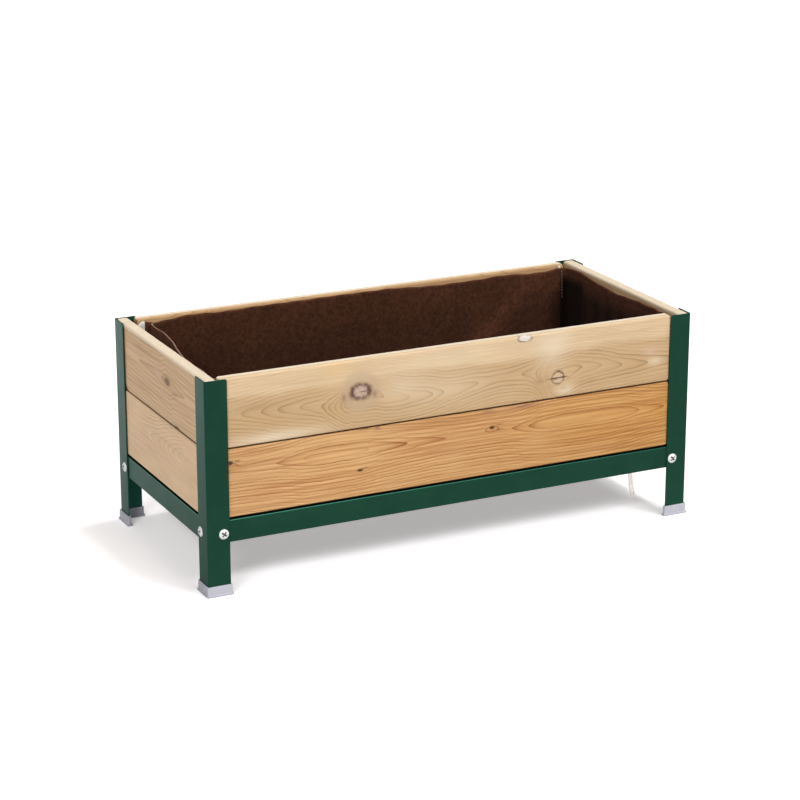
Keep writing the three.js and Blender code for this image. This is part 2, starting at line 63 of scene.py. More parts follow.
STAND = "stand"
BAG = "liner_bag"

# Which way each corner and each side lies from the middle of the planter.
CORNERS = {
    "front_left": (-1, -1),
    "front_right": (1, -1),
    "back_right": (1, 1),
    "back_left": (-1, 1),
}
SIDES = {"front": (0, -1), "right": (1, 0), "back": (0, 1), "left": (-1, 0)}
LEVELS = ("lower", "upper")

MM = 0.001
QUARTER = math.pi / 2

# Points on a small rounded edge.
ARC_POINTS = 7


def paint(red, green, blue):
    """Colour as a screen shows it, 0 to 255, turned into the even light that the shaders reckon with."""
    share = np.array([red, green, blue]) / 255.0
    even = np.where(share > 0.04045, ((share + 0.055) / 1.055) ** 2.4, share / 12.92)
    return tuple(float(v) for v in even)


def toned(colour, share):
    """The same colour, darker or lighter."""
    return tuple(share * part for part in colour)


# Settings


def length_setting(name, description, default, **limits):
    """Setting for a length in metres."""
    return bpy.props.FloatProperty(
        name=name, description=description, default=default, unit="LENGTH", **limits
    )


def colour_setting(name, description, default):
    """Setting for a colour."""
    return bpy.props.FloatVectorProperty(
        name=name, description=description, default=default, subtype="COLOR", size=3, min=0.0, max=1.0
    )


def place_setting(name, description, default):
    """Setting for a place in the model's frame."""
    return bpy.props.FloatVectorProperty(
        name=name, description=description, default=default, subtype="TRANSLATION", size=3
    )


def strength_setting(name, description, default):
    """Setting for the strength of a light."""
    return bpy.props.FloatProperty(name=name, description=description, default=default)


class SteelSettings(bpy.types.PropertyGroup):
    """Folded and powder-coated steel."""

    sheet: length_setting("Sheet", "Thickness of the steel", 2 * MM, min=0.5 * MM)
    bend: length_setting("Bend", "Outer radius of the fold", 3 * MM, min=1 * MM)
    clip: length_setting("Clip", "Corner taken off each flange's top", 2.5 * MM)
    edge: length_setting("Edge", "Rounding of the coated edges", 0.45 * MM)
    coat: colour_setting("Coat", "Colour of the powder coat", paint(33, 67, 50))


class BoardSettings(bpy.types.PropertyGroup):
    """Pine boards."""

    round_edge: length_setting("Long edges", "Rounding of the long edges", 4 * MM)
    round_end: length_setting("End corners", "Rounding of the face's corners", 4 * MM)
    ease_end: length_setting("End edges", "Easing of the sawn end's edges", 1.1 * MM)
    pale: colour_setting("Pale pine", "Early wood of the pale boards", paint(236, 207, 167))
    pale_heart: colour_setting("Pale pine heart", "Early wood along the ring axis", paint(212, 176, 131))
    pale_late: colour_setting("Pale pine lines", "Late wood of the pale boards", paint(172, 131, 90))
    honey: colour_setting("Honey pine", "Early wood of the honey board", paint(235, 193, 141))
    honey_heart: colour_setting("Honey pine heart", "Early wood along the ring axis", paint(229, 182, 127))
    honey_late: colour_setting("Honey pine lines", "Late wood of the honey board", paint(168, 104, 56))


class FittingSettings(bpy.types.PropertyGroup):
    """Bolts, foot caps and the drain."""

    dome: length_setting("Dome", "Rise of a bolt head over its rim", 3.4 * MM)
    recess: length_setting("Recess", "Depth of the cross in a bolt head", 2.2 * MM)
    zinc: colour_setting("Zinc", "Colour of the bright zinc plate", paint(251, 252, 253))
    foot: colour_setting("Foot plastic", "Colour of the foot caps", paint(198, 196, 206))
    hose_bore: length_setting("Hose bore", "Inside diameter of the drain hose", 6 * MM)
    hose_width: length_setting("Hose", "Outside diameter of the drain hose", 9 * MM)


class BagSettings(bpy.types.PropertyGroup):
    """Felt bag."""

    felt: length_setting("Felt", "Thickness of the felt", 2.4 * MM)
    play: length_setting("Play", "Room between the bag and the boards", 6 * MM)
    corner: length_setting("Corner", "Rounding of the bag's upright corners", 16 * MM)
    lean: length_setting("Lean", "How far the left wall leans in at the back", 26 * MM)
    slack: length_setting("Slack", "How far the right wall hangs off the back corner", 7 * MM)
    fold: length_setting("Fold", "Depth of the walls' soft folds", 3.5 * MM)
    brown: colour_setting("Felt brown", "Colour of the felt", paint(104, 64, 43))


class StageSettings(bpy.types.PropertyGroup):
    """Camera, light and floor."""

    lens: bpy.props.FloatProperty(
        name="Lens", description="Focal length on a 36 mm sensor", default=115.36, min=10.0, unit="CAMERA"
    )
    stand_point: place_setting("Camera", "Where the camera stands", (-1.9081, -3.8675, 1.6081))
    aim: place_setting("Aim", "Point at the middle of the picture", (-0.0073, -0.0005, 0.2188))
    key: strength_setting("Key", "Strength of the light from the right", 0.9)
    front: strength_setting("Front", "Strength of the light ahead", 0.45)
    top: strength_setting("Top", "Strength of the light above", 0.93)
    side: strength_setting("Side", "Strength of the light from the left", 1.0)
    fill: strength_setting("Fill", "Strength of the even light", 0.25)


# Which way each light travels, and how wide its source looks in degrees. Its strength is a setting.
LIGHTS = {
    "key": ((-0.332, 0.624, -0.707), 16),
    "front": ((-0.074, 0.703, -0.707), 16),
    "top": ((-0.259, 0.0, -0.966), 10),
    "side": ((0.579, 0.579, -0.574), 20),
}

# Half the floor's width, and how bright it is in reflections, from in front of the planter to behind it.
FLOOR_HALF = 20.0
GLOW = ((-0.5, 0.05), (0.0, 0.48), (0.4, 0.75), (1.0, 1.12))

SETTINGS = {
    "planter_steel": SteelSettings,
    "planter_boards": BoardSettings,
    "planter_fittings": FittingSettings,
    "planter_bag": BagSettings,
    "planter_stage": StageSettings,
}


# Surfaces


def grid(rows, columns, wrap=False):
    """Quads of a grid of points kept row after row; wrap joins the last column to the first."""
    row = np.arange(rows - 1)[:, None] * columns
    column = np.arange(columns if wrap else columns - 1)[None, :]
    after = (column + 1) % columns
    corners = (row + column, row + after, row + columns + after, row + columns + column)
    return np.stack(np.broadcast_arrays(*corners), axis=-1).reshape(-1, 4)


def rounded_corner(centre, radius, start, end, count):
    """Points of a circle's arc between two angles given in quarter turns."""
    angle = np.linspace(start, end, count) * QUARTER
    return np.asarray(centre) + radius * np.stack([np.cos(angle), np.sin(angle)], axis=1)


def spatial(x, y, z):
    """Points from their three numbers, each of which may be spread over rows or columns."""
    return np.stack(np.broadcast_arrays(x, y, z), axis=-1)


def join_seams(mesh, closed):
    """Merges the points that seams and poles share, and turns the faces of a closed skin outwards."""
    work = bmesh.new()
    work.from_mesh(mesh)
    bmesh.ops.remove_doubles(work, verts=work.verts, dist=1e-6)
    if closed:
        bmesh.ops.recalc_face_normals(work, faces=work.faces)
    work.to_mesh(mesh)
    work.free()


def make_mesh(name, points, faces, notes=None, caps=(), closed=True):
    """Mesh of these points, four-sided faces and caps of any number of sides, with named numbers or vectors
    noted on its points."""
    mesh = bpy.data.meshes.new(name)
    mesh.from_pydata(points.reshape(-1, 3).tolist(), [], faces.tolist() + [cap.tolist() for cap in caps])
    for note, values in (notes or {}).items():
        if values.shape[-1] == 3:
            layer = mesh.attributes.new(note, "FLOAT_VECTOR", "POINT")
            layer.data.foreach_set("vector", values.astype(np.float32).ravel())
        else:
            layer = mesh.attributes.new(note, "FLOAT", "POINT")
            layer.data.foreach_set("value", values.astype(np.float32).ravel())
    join_seams(mesh, closed)
    return mesh


def add_piece(mesh, finish, slot, body=STAND, stands_for=()):
    """Puts a mesh into the scene as a piece that rides on a body and stands for CAD nodes."""
    mesh.shade_smooth()
    piece = bpy.data.objects.new(mesh.name, mesh)
    bpy.context.scene.collection.objects.link(piece)
    mesh.materials.append(finish)
    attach(piece, body)
    if stands_for:
        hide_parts(*stands_for)
    return piece


def ease_edges(piece, width):
    """Rounds the piece's sharp edges by a small bevel."""
    bevel = piece.modifiers.new("Eased edges", "BEVEL")
    bevel.width = width
    bevel.segments = 2
    bevel.limit_method = "ANGLE"
    bevel.angle_limit = math.radians(40)
    bevel.harden_normals = True


def node_box(node):
    """Low and high corner of a node of the packed model."""
    return tuple(np.array(corner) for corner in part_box(node))


class SideBox(NamedTuple):
    """Box of a node that lies along one side: the middle and half of its length, its outer face, its
    thickness, and its lowest and highest level."""

    middle: float
    half: float
    outer: float
    thick: float
    low: float
    high: float


def across_side(outward):
    """Number of the axis that runs through a side, 0 for x and 1 for y."""
    return int(np.argmax(np.abs(outward)))


def side_box(node, outward):
    """Box of a node, read along its side of the planter."""
    low, high = node_box(node)
    across = across_side(outward)
    along = 1 - across
    outer = high[across] if outward[across] > 0 else low[across]
    middle = (low[along] + high[along]) / 2
    half = (high[along] - low[along]) / 2
    return SideBox(middle, half, outer, high[across] - low[across], low[2], high[2])


def on_side(outward, along, depth, height, outer):
    """Points of a side, given along it, in from its outer face and up, in the model's frame."""
    across = across_side(outward)
    inwards = outer - outward[across] * depth
    return spatial(along, inwards, height) if across else spatial(inwards, along, height)


def at_corner(corner, low, high, in_x, in_y, height):
    """Points at a corner of a box, given in from its two outer faces and up, in the model's frame."""
    sign_x, sign_y = CORNERS[corner]
    x = (high[0] if sign_x > 0 else low[0]) - sign_x * in_x
    y = (high[1] if sign_y > 0 else low[1]) - sign_y * in_y
    return spatial(x, y, height)


# Node helpers


class Wiring:
    """Places nodes in one tree and links them, so that a finish reads as a list of steps."""

    def __init__(self, tree):
        self.tree = tree

    def feed(self, socket, value):
        """Links a socket to another one, or sets its plain value."""
        if isinstance(value, bpy.types.NodeSocket):
            self.tree.links.new(value, socket)
        elif isinstance(value, (tuple, list)) and socket.type == "RGBA" and len(value) == 3:
            socket.default_value = (*value, 1.0)
        else:
            socket.default_value = value

    def put(self, kind, sockets=None, **options):
        """New node with these options, and values or links on its inputs by name or number."""
        node = self.tree.nodes.new(kind)
        for option, value in options.items():
            setattr(node, option, value)
        for socket, value in (sockets or {}).items():
            self.feed(node.inputs[socket], value)
        return node

    def math(self, operation, *values):
        """One step of arithmetic."""
        return self.put("ShaderNodeMath", dict(enumerate(values)), operation=operation).outputs[0]

    def times(self, first, second):
        """Two numbers multiplied."""
        return self.math("MULTIPLY", first, second)

    def vector(self, operation, *values):
        """One step of vector arithmetic; a dot product gives a number."""
        node = self.put("ShaderNodeVectorMath", dict(enumerate(values)), operation=operation)
        return node.outputs["Value" if operation == "DOT_PRODUCT" else "Vector"]

    def mix(self, share, first, second, blend="MIX"):
        """Two colours mixed by a share."""
        node = self.put("ShaderNodeMix", data_type="RGBA", blend_type=blend)
        for number, value in ((0, share), (6, first), (7, second)):
            self.feed(node.inputs[number], value)
        return node.outputs[2]

    def blend(self, share, first, second):
        """Two shaders mixed by a share."""
        return self.put("ShaderNodeMixShader", {0: share, 1: first, 2: second}).outputs[0]

    def ease(self, value, low, high, start=0.0, end=1.0):
        """Smooth step from start to end as a value goes from low to high."""
        sockets = {"Value": value, "From Min": low, "From Max": high, "To Min": start, "To Max": end}
        return self.put("ShaderNodeMapRange", sockets, interpolation_type="SMOOTHSTEP").outputs[0]

    def decay(self, value, rate=1.0):
        """One where a value is nothing, falling off exponentially as it grows."""
        return self.math("EXPONENT", self.times(value, -rate))

    def curve(self, value, points):
        """A number read off a smooth curve through these points, level beyond its ends."""
        places, heights = zip(*points)
        low = min(heights)
        rise = max(max(heights) - low, 1e-6)
        first, last = places[0], places[-1]
        share = self.put("ShaderNodeMapRange", {"Value": value, "From Min": first, "From Max": last})
        node = self.put("ShaderNodeFloatCurve", {"Value": share.outputs[0]})
        line = node.mapping.curves[0]
        spots = [((place - first) / (last - first), (height - low) / rise) for place, height in points]
        line.points[0].location = spots[0]
        line.points[1].location = spots[-1]
        for spot in spots[1:-1]:
            line.points.new(*spot)
        for point in line.points:
            point.handle_type = "AUTO_CLAMPED"
        node.mapping.update()
        return self.math("MULTIPLY_ADD", node.outputs[0], rise, low)

    def noise(self, vector, scale, detail=2.0, roughness=0.5):
        """Cloudy noise, about 0.5 on average, at one scale or at one for each direction."""
        if isinstance(scale, tuple):
            vector = self.vector("MULTIPLY", vector, scale)
            scale = 1.0
        sockets = {"Vector": vector, "Scale": scale, "Detail": detail, "Roughness": roughness}
        return self.put("ShaderNodeTexNoise", sockets).outputs[0]

    def swing(self, vector, scale, detail=2.0, roughness=0.5):
        """Cloudy noise that swings about nothing."""
        return self.math("SUBTRACT", self.noise(vector, scale, detail, roughness), 0.5)

    def split(self, vector):
        """The three numbers of a vector."""
        return tuple(self.put("ShaderNodeSeparateXYZ", {0: vector}).outputs)

    def join(self, x, y, z):
        """A vector from three numbers."""
        return self.put("ShaderNodeCombineXYZ", {0: x, 1: y, 2: z}).outputs[0]

    def place(self):
        """The surface point in the piece's own frame."""
        return self.put("ShaderNodeTexCoord").outputs["Object"]

    def note(self, name, output="Fac"):
        """A number or vector noted on the mesh."""
        return self.put("ShaderNodeAttribute", attribute_name=name).outputs[output]

    def rays(self):
        """Kinds of the ray that meets a surface, and whether the camera sends it, also through the hose."""
        ray = self.put("ShaderNodeLightPath").outputs
        return ray, self.math("MAXIMUM", ray["Is Camera Ray"], ray["Is Transmission Ray"])

    def use(self, effect, **sockets):
        """Places a shared effect and returns its outputs."""
        return self.put("ShaderNodeGroup", sockets, node_tree=effect()).outputs

    def bump(self, height, distance, strength):
        """Normal of a surface raised by a height."""
        sockets = {"Strength": strength, "Distance": distance, "Height": height}
        return self.put("ShaderNodeBump", sockets).outputs[0]

    def dress(self, colour, roughness, normal=None):
        """Feeds the surface shader's colour and roughness and, where the surface is uneven, its normal."""
        shader = self.tree.nodes["Principled BSDF"]
        self.feed(shader.inputs["Base Color"], colour)
        self.feed(shader.inputs["Roughness"], roughness)
        if normal is not None:
            self.feed(shader.inputs["Normal"], normal)


# Inputs of the shared effects that hold three numbers. All their other inputs and outputs hold one.
VECTOR_INPUTS = ("board", "place", "reach")


def shared_effect(*outputs):
    """Turns a function that wires an effect, from its wiring and inputs to the sources of these outputs, into
    one that gives the effect's node group, built at its first use."""

    def wrap(wire):
        inputs = list(inspect.signature(wire).parameters)[1:]

        @functools.wraps(wire)
        def group():
            name = wire.__name__
            if name in bpy.data.node_groups:
                return bpy.data.node_groups[name]
            tree = bpy.data.node_groups.new(name, "ShaderNodeTree")
            for socket in inputs:
                kind = "NodeSocketVector" if socket in VECTOR_INPUTS else "NodeSocketFloat"
                tree.interface.new_socket(socket, in_out="INPUT", socket_type=kind)
            for socket in outputs:
                tree.interface.new_socket(socket, in_out="OUTPUT", socket_type="NodeSocketFloat")
            wiring = Wiring(tree)
            sources = wire(wiring, *tree.nodes.new("NodeGroupInput").outputs[: len(inputs)])
            wiring.put("NodeGroupOutput", dict(zip(outputs, sources)))
            return tree

        return group

    return wrap


def new_finish(name, sockets):
    """New material with these plain values on its surface shader, and its wiring."""
    material = bpy.data.materials.new(name)
    material.use_nodes = True
    wiring = Wiring(material.node_tree)
    shader = material.node_tree.nodes["Principled BSDF"]
    for socket, value in sockets.items():
        wiring.feed(shader.inputs[socket], value)
    return material, wiring


# Shared effects


@shared_effect("mask")
def soft_spot(w, board, place, reach):
    """Mask of a spot: a bell curve of the distance from its place, each way measured by its own reach."""
    away = w.vector("DIVIDE", w.vector("SUBTRACT", board, place), reach)
    return [w.decay(w.vector("DOT_PRODUCT", away, away))]


# How often the wood's noise comes to the metre, along, through and up a board. The noise that sways and
# shivers the rings has the board's seed for its depth.
SWAY = (5.0, 1.0, 9.0)
SHIVER = (34.0, 1.0, 95.0)
FIBRES = (16.0, 260.0, 520.0)
PORES = (45.0, 900.0, 1100.0)
CLOUDS = (6.0, 20.0, 24.0)
PATCHES = (12.0, 20.0, 34.0)
STREAKS = (3.5, 20.0, 210.0)
KNOT_OUTLINE = (130.0, 1.0, 170.0)
BARK_PATCHES = (60.0, 1.0, 60.0)
CRACK_BENDS = (160.0, 1.0, 1.0)

# How often rings change their width, by how many rings noise moves them, and how far it shivers them.
RING_CHANGE = (0.55, 1.0, 1.0)
RING_UNEVEN = 0.9
RING_SHIVER = 4.2 * MM


@shared_effect("rings")
def trunk_rings(w, board, count, axis, flat, spacing, wander, seed):
    """Number of growth rings at a point: the count on the ring axis plus the distance from that axis, which
    lies a little behind the face, divided by the ring spacing. Noise sways the axis and loosens the rings."""
    along, depth, up = w.split(board)
    seeded = w.join(along, seed, up)
    sway = w.times(w.swing(seeded, SWAY), wander)
    shiver = w.times(w.swing(seeded, SHIVER, 4.0), RING_SHIVER)
    rise = w.math("ADD", w.math("ADD", w.math("SUBTRACT", up, axis), sway), shiver)
    back = w.math("ADD", flat, depth)
    far = w.math("SQRT", w.math("MULTIPLY_ADD", rise, rise, w.times(back, back)))
    off_axis = w.math("DIVIDE", w.math("SUBTRACT", far, flat), spacing)
    rings = w.math("ADD", count, off_axis)
    uneven = w.swing(w.join(rings, seed, 3.0), RING_CHANGE, 1.0)
    return [w.math("MULTIPLY_ADD", uneven, RING_UNEVEN, rings)]


@shared_effect("band", "line")
def growth_lines(w, rings, seed):
    """Late wood of each ring: a band that darkens towards the ring's end and a thin line where it stops, both
    falling off exponentially, stronger in some rings than in others."""
    left = w.math("SUBTRACT", 1.0, w.math("FRACT", rings))
    number = w.math("ADD", w.math("FLOOR", rings), seed)
    chance = w.put("ShaderNodeTexWhiteNoise", {"W": number}, noise_dimensions="1D").outputs[0]
    strength = w.math("MULTIPLY_ADD", chance, 0.6, 0.4)
    return [w.times(w.decay(left, rate), strength) for rate in (3.0, 9.0)]


@shared_effect("streak", "pores")
def wood_fibres(w, board, seed):
    """Fine streaks along the grain and short dark pores, from noise drawn out along the board."""
    moved = w.vector("ADD", board, w.join(seed, 0.0, 0.0))
    return [w.noise(moved, FIBRES, 4.0, 0.6), w.ease(w.noise(moved, PORES, 1.0), 0.66, 0.76)]


# Where a knot's bark lies, as a share of its radius, how rough its outline is, how many rings it has and how
# often cracks come round the clock in it.
KNOT_BARK = 0.88
KNOT_ROUGH = 0.5
KNOT_RINGS = 3.4
STAR_CRACKS = (2.6, 2.6, 2.6)


@shared_effect("disc", "rim", "rings", "spokes")
def branch_knot(w, board, place, radius, stretch, bark):
    """A knot: the distance from its middle, longer along the grain and roughened by noise, gives its disc,
    the dark bark round it and its own small rings; noise round the clock gives the cracks that star it."""
    away = w.vector("SUBTRACT", board, place)
    along, _, up = w.split(away)
    along = w.math("DIVIDE", along, stretch)
    far = w.math("SQRT", w.math("MULTIPLY_ADD", along, along, w.times(up, up)))
    rough = w.swing(away, KNOT_OUTLINE, 4.0, 0.6)
    share = w.math("MULTIPLY_ADD", rough, KNOT_ROUGH, w.math("DIVIDE", far, radius))
    disc = w.ease(share, 0.86, 1.0, 1.0, 0.0)
    off_rim = w.math("DIVIDE", w.math("SUBTRACT", share, KNOT_BARK), bark)
    rim = w.decay(w.times(off_rim, off_rim))
    rings = w.math("PINGPONG", w.times(share, KNOT_RINGS), 0.5)
    star = w.math("ABSOLUTE", w.swing(w.vector("NORMALIZE", away), STAR_CRACKS))
    spokes = w.times(w.ease(star, 0.0, 0.05, 1.0, 0.0), disc)
    return [disc, rim, w.times(rings, 2.0), spokes]


CRACK_WIDTH = 0.9 * MM
CRACK_WANDER = 2.2 * MM


@shared_effect("crack")
def drying_crack(w, board, place, length):
    """A thin crack along the grain: a narrow bell curve across a slightly wandering line, ended by the sixth
    power of the distance along it."""
    along, _, up = w.split(w.vector("SUBTRACT", board, place))
    wander = w.swing(w.join(along, 0.0, 0.0), CRACK_BENDS)
    line = w.math("DIVIDE", w.math("MULTIPLY_ADD", wander, CRACK_WANDER, up), CRACK_WIDTH)
    reach = w.math("DIVIDE", along, length)
    end = w.math("POWER", w.math("ABSOLUTE", reach), 6.0)
    return [w.decay(w.math("MULTIPLY_ADD", line, line, end))]


@shared_effect("fine", "broad")
def fine_speckle(w, place, fine, broad):
    """Two sizes of cloudy noise over the surface, for coats, castings and dust."""
    return [w.noise(place, fine), w.noise(place, broad, 4.0, 0.6)]


@shared_effect("threads", "tufts")
def felt_fibres(w, place):
    """Needled fibres: thin bright threads where two swirling noises cross their middle value, and the
    soft tufts between them."""
    first = w.math("ABSOLUTE", w.swing(place, 330.0, 3.0, 0.7))
    second = w.math("ABSOLUTE", w.swing(place, 610.0, 2.0, 0.6))
    threads = w.math("MAXIMUM", w.ease(first, 0.0, 0.05, 1.0, 0.0), w.ease(second, 0.0, 0.04, 1.0, 0.0))
    return [threads, w.noise(place, 150.0, 5.0, 0.7)]


# Finishes

WHITE = (1.0, 1.0, 1.0)
WORN_COAT = paint(60, 104, 86)
# Painted highlight along the rails' bends.
BRIGHT_BEND = paint(76, 142, 118)
# Painted shade for the groove between a rail and its board.
GRIME = (paint(4, 11, 8), paint(7, 13, 10))
# Painted shade in the bolts' cross recesses.
HOLLOW_ZINC = paint(104, 100, 106)
CRYSTAL_GREYS = (paint(172, 176, 180), paint(214, 217, 219))
SPOUT_GREY = paint(44, 45, 47)
MILKY = (paint(255, 252, 250), paint(253, 247, 244))
DARK_TUFT = paint(34, 17, 12)
PALE_THREAD = paint(150, 92, 72)
FELT_SHADE = paint(7, 2, 1)
BINDING_YARN = paint(160, 126, 110)
STITCH_THREAD = paint(178, 160, 150)
SEAM_TAPE = paint(240, 236, 230)


def speckled(w, fine, broad):
    """Fine and broad speckle over a piece, so many to the metre."""
    speckle = w.use(fine_speckle, place=w.place(), fine=fine, broad=broad)
    return speckle["fine"], speckle["broad"]


def coat_finish(colour):
    """Satin powder coat: fine orange peel, cloudy gloss, a slightly paler worn line along bare edges and a
    painted highlight along the rails' bends."""
    material, w = new_finish("green_coat_finish", {"IOR": 1.5, "Specular Tint": (0.1, 1.0, 0.8)})
    peel, clouds = speckled(w, 900.0, 22.0)
    cloudy = w.mix(w.ease(clouds, 0.3, 0.7), toned(colour, 0.94), toned(colour, 1.06))
    worn = w.times(w.note("edge"), w.ease(clouds, 0.42, 0.66, 0.0, 0.15))
    # The note on the rails' bends lays a painted highlight over the worn edges.
    bright = w.mix(w.note("glint"), w.mix(worn, cloudy, WORN_COAT), BRIGHT_BEND)
    w.dress(bright, w.ease(clouds, 0.25, 0.75, 0.38, 0.46), w.bump(peel, 0.12 * MM, 0.3))
    return material


def groove_finish():
    """Dull coat, darkened as painted shade, in the groove between a rail and its board."""
    material, w = new_finish("groove_finish", {"Specular IOR Level": 0.03})
    peel, clouds = speckled(w, 900.0, 60.0)
    grimy = w.mix(w.ease(clouds, 0.3, 0.7), *GRIME)
    w.dress(grimy, w.ease(clouds, 0.25, 0.75, 0.6, 0.8), w.bump(peel, 0.12 * MM, 0.3))
    return material


def zinc_finish(colour):
    """Bright zinc plate, with faint clouding, fine scratches and painted shade in the cross recess."""
    material, w = new_finish("zinc_finish", {"Metallic": 0.08})
    scratches, clouds = speckled(w, 2600.0, 260.0)
    shade = w.mix(w.ease(clouds, 0.35, 0.7), colour, toned(colour, 0.92))
    # Painted shade where the cross sinks into the head.
    hollow = w.mix(w.note("sunk"), shade, HOLLOW_ZINC)
    w.dress(hollow, w.ease(clouds, 0.3, 0.7, 0.3, 0.45), w.bump(scratches, 0.04 * MM, 0.5))
    return material


def galvanised_finish():
    """Hot-dipped zinc: flat crystals, each with its own grey and gloss."""
    material, w = new_finish("galvanised_finish", {"Metallic": 1.0})
    place = w.place()
    crystals = w.put("ShaderNodeTexVoronoi", {"Vector": place, "Scale": 95.0, "Randomness": 1.0})
    grey = w.put("ShaderNodeSeparateColor", {0: crystals.outputs["Color"]}).outputs[0]
    clouds = w.noise(place, 9.0, 4.0)
    tone = w.math("MULTIPLY_ADD", clouds, 0.5, w.times(grey, 0.5))
    w.dress(w.mix(tone, *CRYSTAL_GREYS), w.ease(grey, 0.0, 1.0, 0.34, 0.52), w.bump(tone, 0.2 * MM, 0.25))
    return material


def plastic_finish(name, colour, roughness):
    """Moulded plastic with a fine spark-eroded texture and a little scuffing."""
    material, w = new_finish(name, {"Specular IOR Level": 0.4})
    texture, scuffs = speckled(w, 2400.0, 90.0)
    dusty = w.mix(w.ease(scuffs, 0.4, 0.75), colour, toned(colour, 0.9))
    dull = w.ease(scuffs, 0.3, 0.7, roughness, roughness + 0.14)
    w.dress(dusty, dull, w.bump(texture, 0.08 * MM, 0.4))
    return material


def hose_finish():
    """Soft clear tubing, milky, with faint lines drawn along it."""
    sockets = {"Transmission Weight": 0.8, "IOR": 1.03, "Specular IOR Level": 0.5}
    material, w = new_finish("clear_hose_finish", sockets)
    streak = w.noise(w.place(), (900.0, 900.0, 12.0))
    w.dress(w.mix(streak, *MILKY), w.ease(streak, 0.3, 0.7, 0.16, 0.3))
    return material


def felt_finish(colour):
    """Needled felt: dark ground, warmer and darker tufts and thin pale threads, with a soft nap, and painted
    shade where the bag notes it.
    """
    nap = {"Sheen Weight": 0.07, "Sheen Roughness": 0.5, "Sheen Tint": (0.8, 0.55, 0.45, 1.0)}
    material, w = new_finish("felt_finish", {"Specular IOR Level": 0.08, **nap})
    place = w.place()
    felt = w.use(felt_fibres, place=place)
    broad = w.noise(place, 13.0, 4.0, 0.6)
    ground = w.mix(w.ease(broad, 0.3, 0.7), toned(colour, 0.84), toned(colour, 1.14))
    tufted = w.mix(w.ease(felt["tufts"], 0.34, 0.66), w.mix(0.7, ground, DARK_TUFT), ground)
    pale = w.mix(0.5, ground, PALE_THREAD)
    fibrous = w.mix(w.times(felt["threads"], 0.45), tufted, pale)
    # Painted shade noted on the bag's points.
    shaded = w.mix(w.note("hollow"), fibrous, FELT_SHADE)
    height = w.math("MULTIPLY_ADD", felt["threads"], 0.5, felt["tufts"])
    w.dress(shaded, w.ease(felt["tufts"], 0.3, 0.7, 0.86, 0.98), w.bump(height, 0.9 * MM, 0.7))
    return material


def cut_edge_finish(colour):
    """Cut edge of the felt: brown fibres, bound in a paler yarn along the left wall."""
    material, w = new_finish("felt_cut_edge_finish", {"Specular IOR Level": 0.15})
    fine = w.noise(w.place(), 700.0, 3.0)
    fibres = w.mix(fine, toned(colour, 0.8), toned(colour, 1.5))
    w.dress(w.mix(w.note("bound"), fibres, BINDING_YARN), w.ease(fine, 0.3, 0.7, 0.85, 0.98))
    return material


def thread_finish(name, colour):
    """Sewing thread or woven tape with a slight twist."""
    material, w = new_finish(name, {"Specular IOR Level": 0.3})
    twist = w.noise(w.place(), 1800.0)
    w.dress(w.mix(twist, toned(colour, 0.72), colour), w.ease(twist, 0.3, 0.7, 0.6, 0.8))
    return material


# The floor's own grey, and the colour and added light with which the camera sees it.
FLOOR_GREY = (0.8, 0.8, 0.8)
FLOOR_SEEN = (1.15, 1.145, 1.15)
FLOOR_LIFT = (1.0, 0.925, 0.915)
FLOOR_LIFT_STRENGTH = 0.305


def floor_finish():
    """Pale floor, seen from above only. It looks a little lighter than it is lit, and in reflections it is
    bright behind the planter and dim in front of it."""
    material = bpy.data.materials.new("pale_floor")
    material.use_nodes = True
    tree = material.node_tree
    tree.nodes.remove(tree.nodes["Principled BSDF"])
    w = Wiring(tree)
    ray, straight = w.rays()
    lit = w.put("ShaderNodeBsdfDiffuse", {"Color": FLOOR_GREY}).outputs[0]
    seen = w.put("ShaderNodeBsdfDiffuse", {"Color": FLOOR_SEEN}).outputs[0]
    added = {"Color": FLOOR_LIFT, "Strength": FLOOR_LIFT_STRENGTH}
    lift = w.put("ShaderNodeEmission", added).outputs[0]
    plain = w.blend(straight, lit, w.put("ShaderNodeAddShader", {0: seen, 1: lift}).outputs[0])
    depth = w.split(w.place())[1]
    glow = w.put("ShaderNodeEmission", {"Color": WHITE, "Strength": w.curve(depth, GLOW)}).outputs[0]
    reflected = w.math("SUBTRACT", ray["Is Glossy Ray"], ray["Is Transmission Ray"])
    behind = w.put("ShaderNodeNewGeometry").outputs["Backfacing"]
    clear = w.put("ShaderNodeBsdfTransparent").outputs[0]
    both = w.blend(behind, w.blend(reflected, plain, glow), clear)
    w.feed(tree.nodes["Material Output"].inputs["Surface"], both)
    return material


# Boards

PALE_HEART = paint(218, 190, 172)
WOOD_HEART = paint(226, 196, 160)
DARK_HEART = paint(100, 58, 34)
WHITE_HEART = paint(244, 238, 232)
BARK = paint(104, 70, 58)
CRACK = paint(46, 29, 24)
PORE = paint(128, 92, 60)
GREY_HALO = paint(200, 174, 144)
# Cream for pale patches, and for painted sheen and the painted top-edge highlight.
CREAM = paint(248, 232, 206)
PLUM = paint(138, 92, 84)
WARM = paint(236, 196, 138)
AMBER = paint(249, 237, 196)
DUSKY = paint(182, 146, 108)
PINKISH = paint(222, 186, 164)
# Painted shade in the seams and gaps where boards meet rails, posts and each other.
SEAM = paint(66, 36, 12)
BROWN = paint(150, 112, 86)


class Knot(NamedTuple):
    """A branch cut across by the face: its place and size, how dark its bark is, its heart and the star of
    cracks in it, the crack through it, the grey disc round it and how far it pushes the rings aside."""

    along: float
    up: float
    radius: float
    stretch: float
    dark: float
    bark: float = 0.16
    heart: tuple = PALE_HEART
    pale: float = 0.75
    star: float = 0.5
    crack: float = 0.0
    halo: float = 0.0
    swirl: float = 0.0


class Stain(NamedTuple):
    """A patch of another colour."""

    along: float
    up: float
    reach: float
    rise: float
    colour: tuple
    share: float
    blend: str = "MIX"


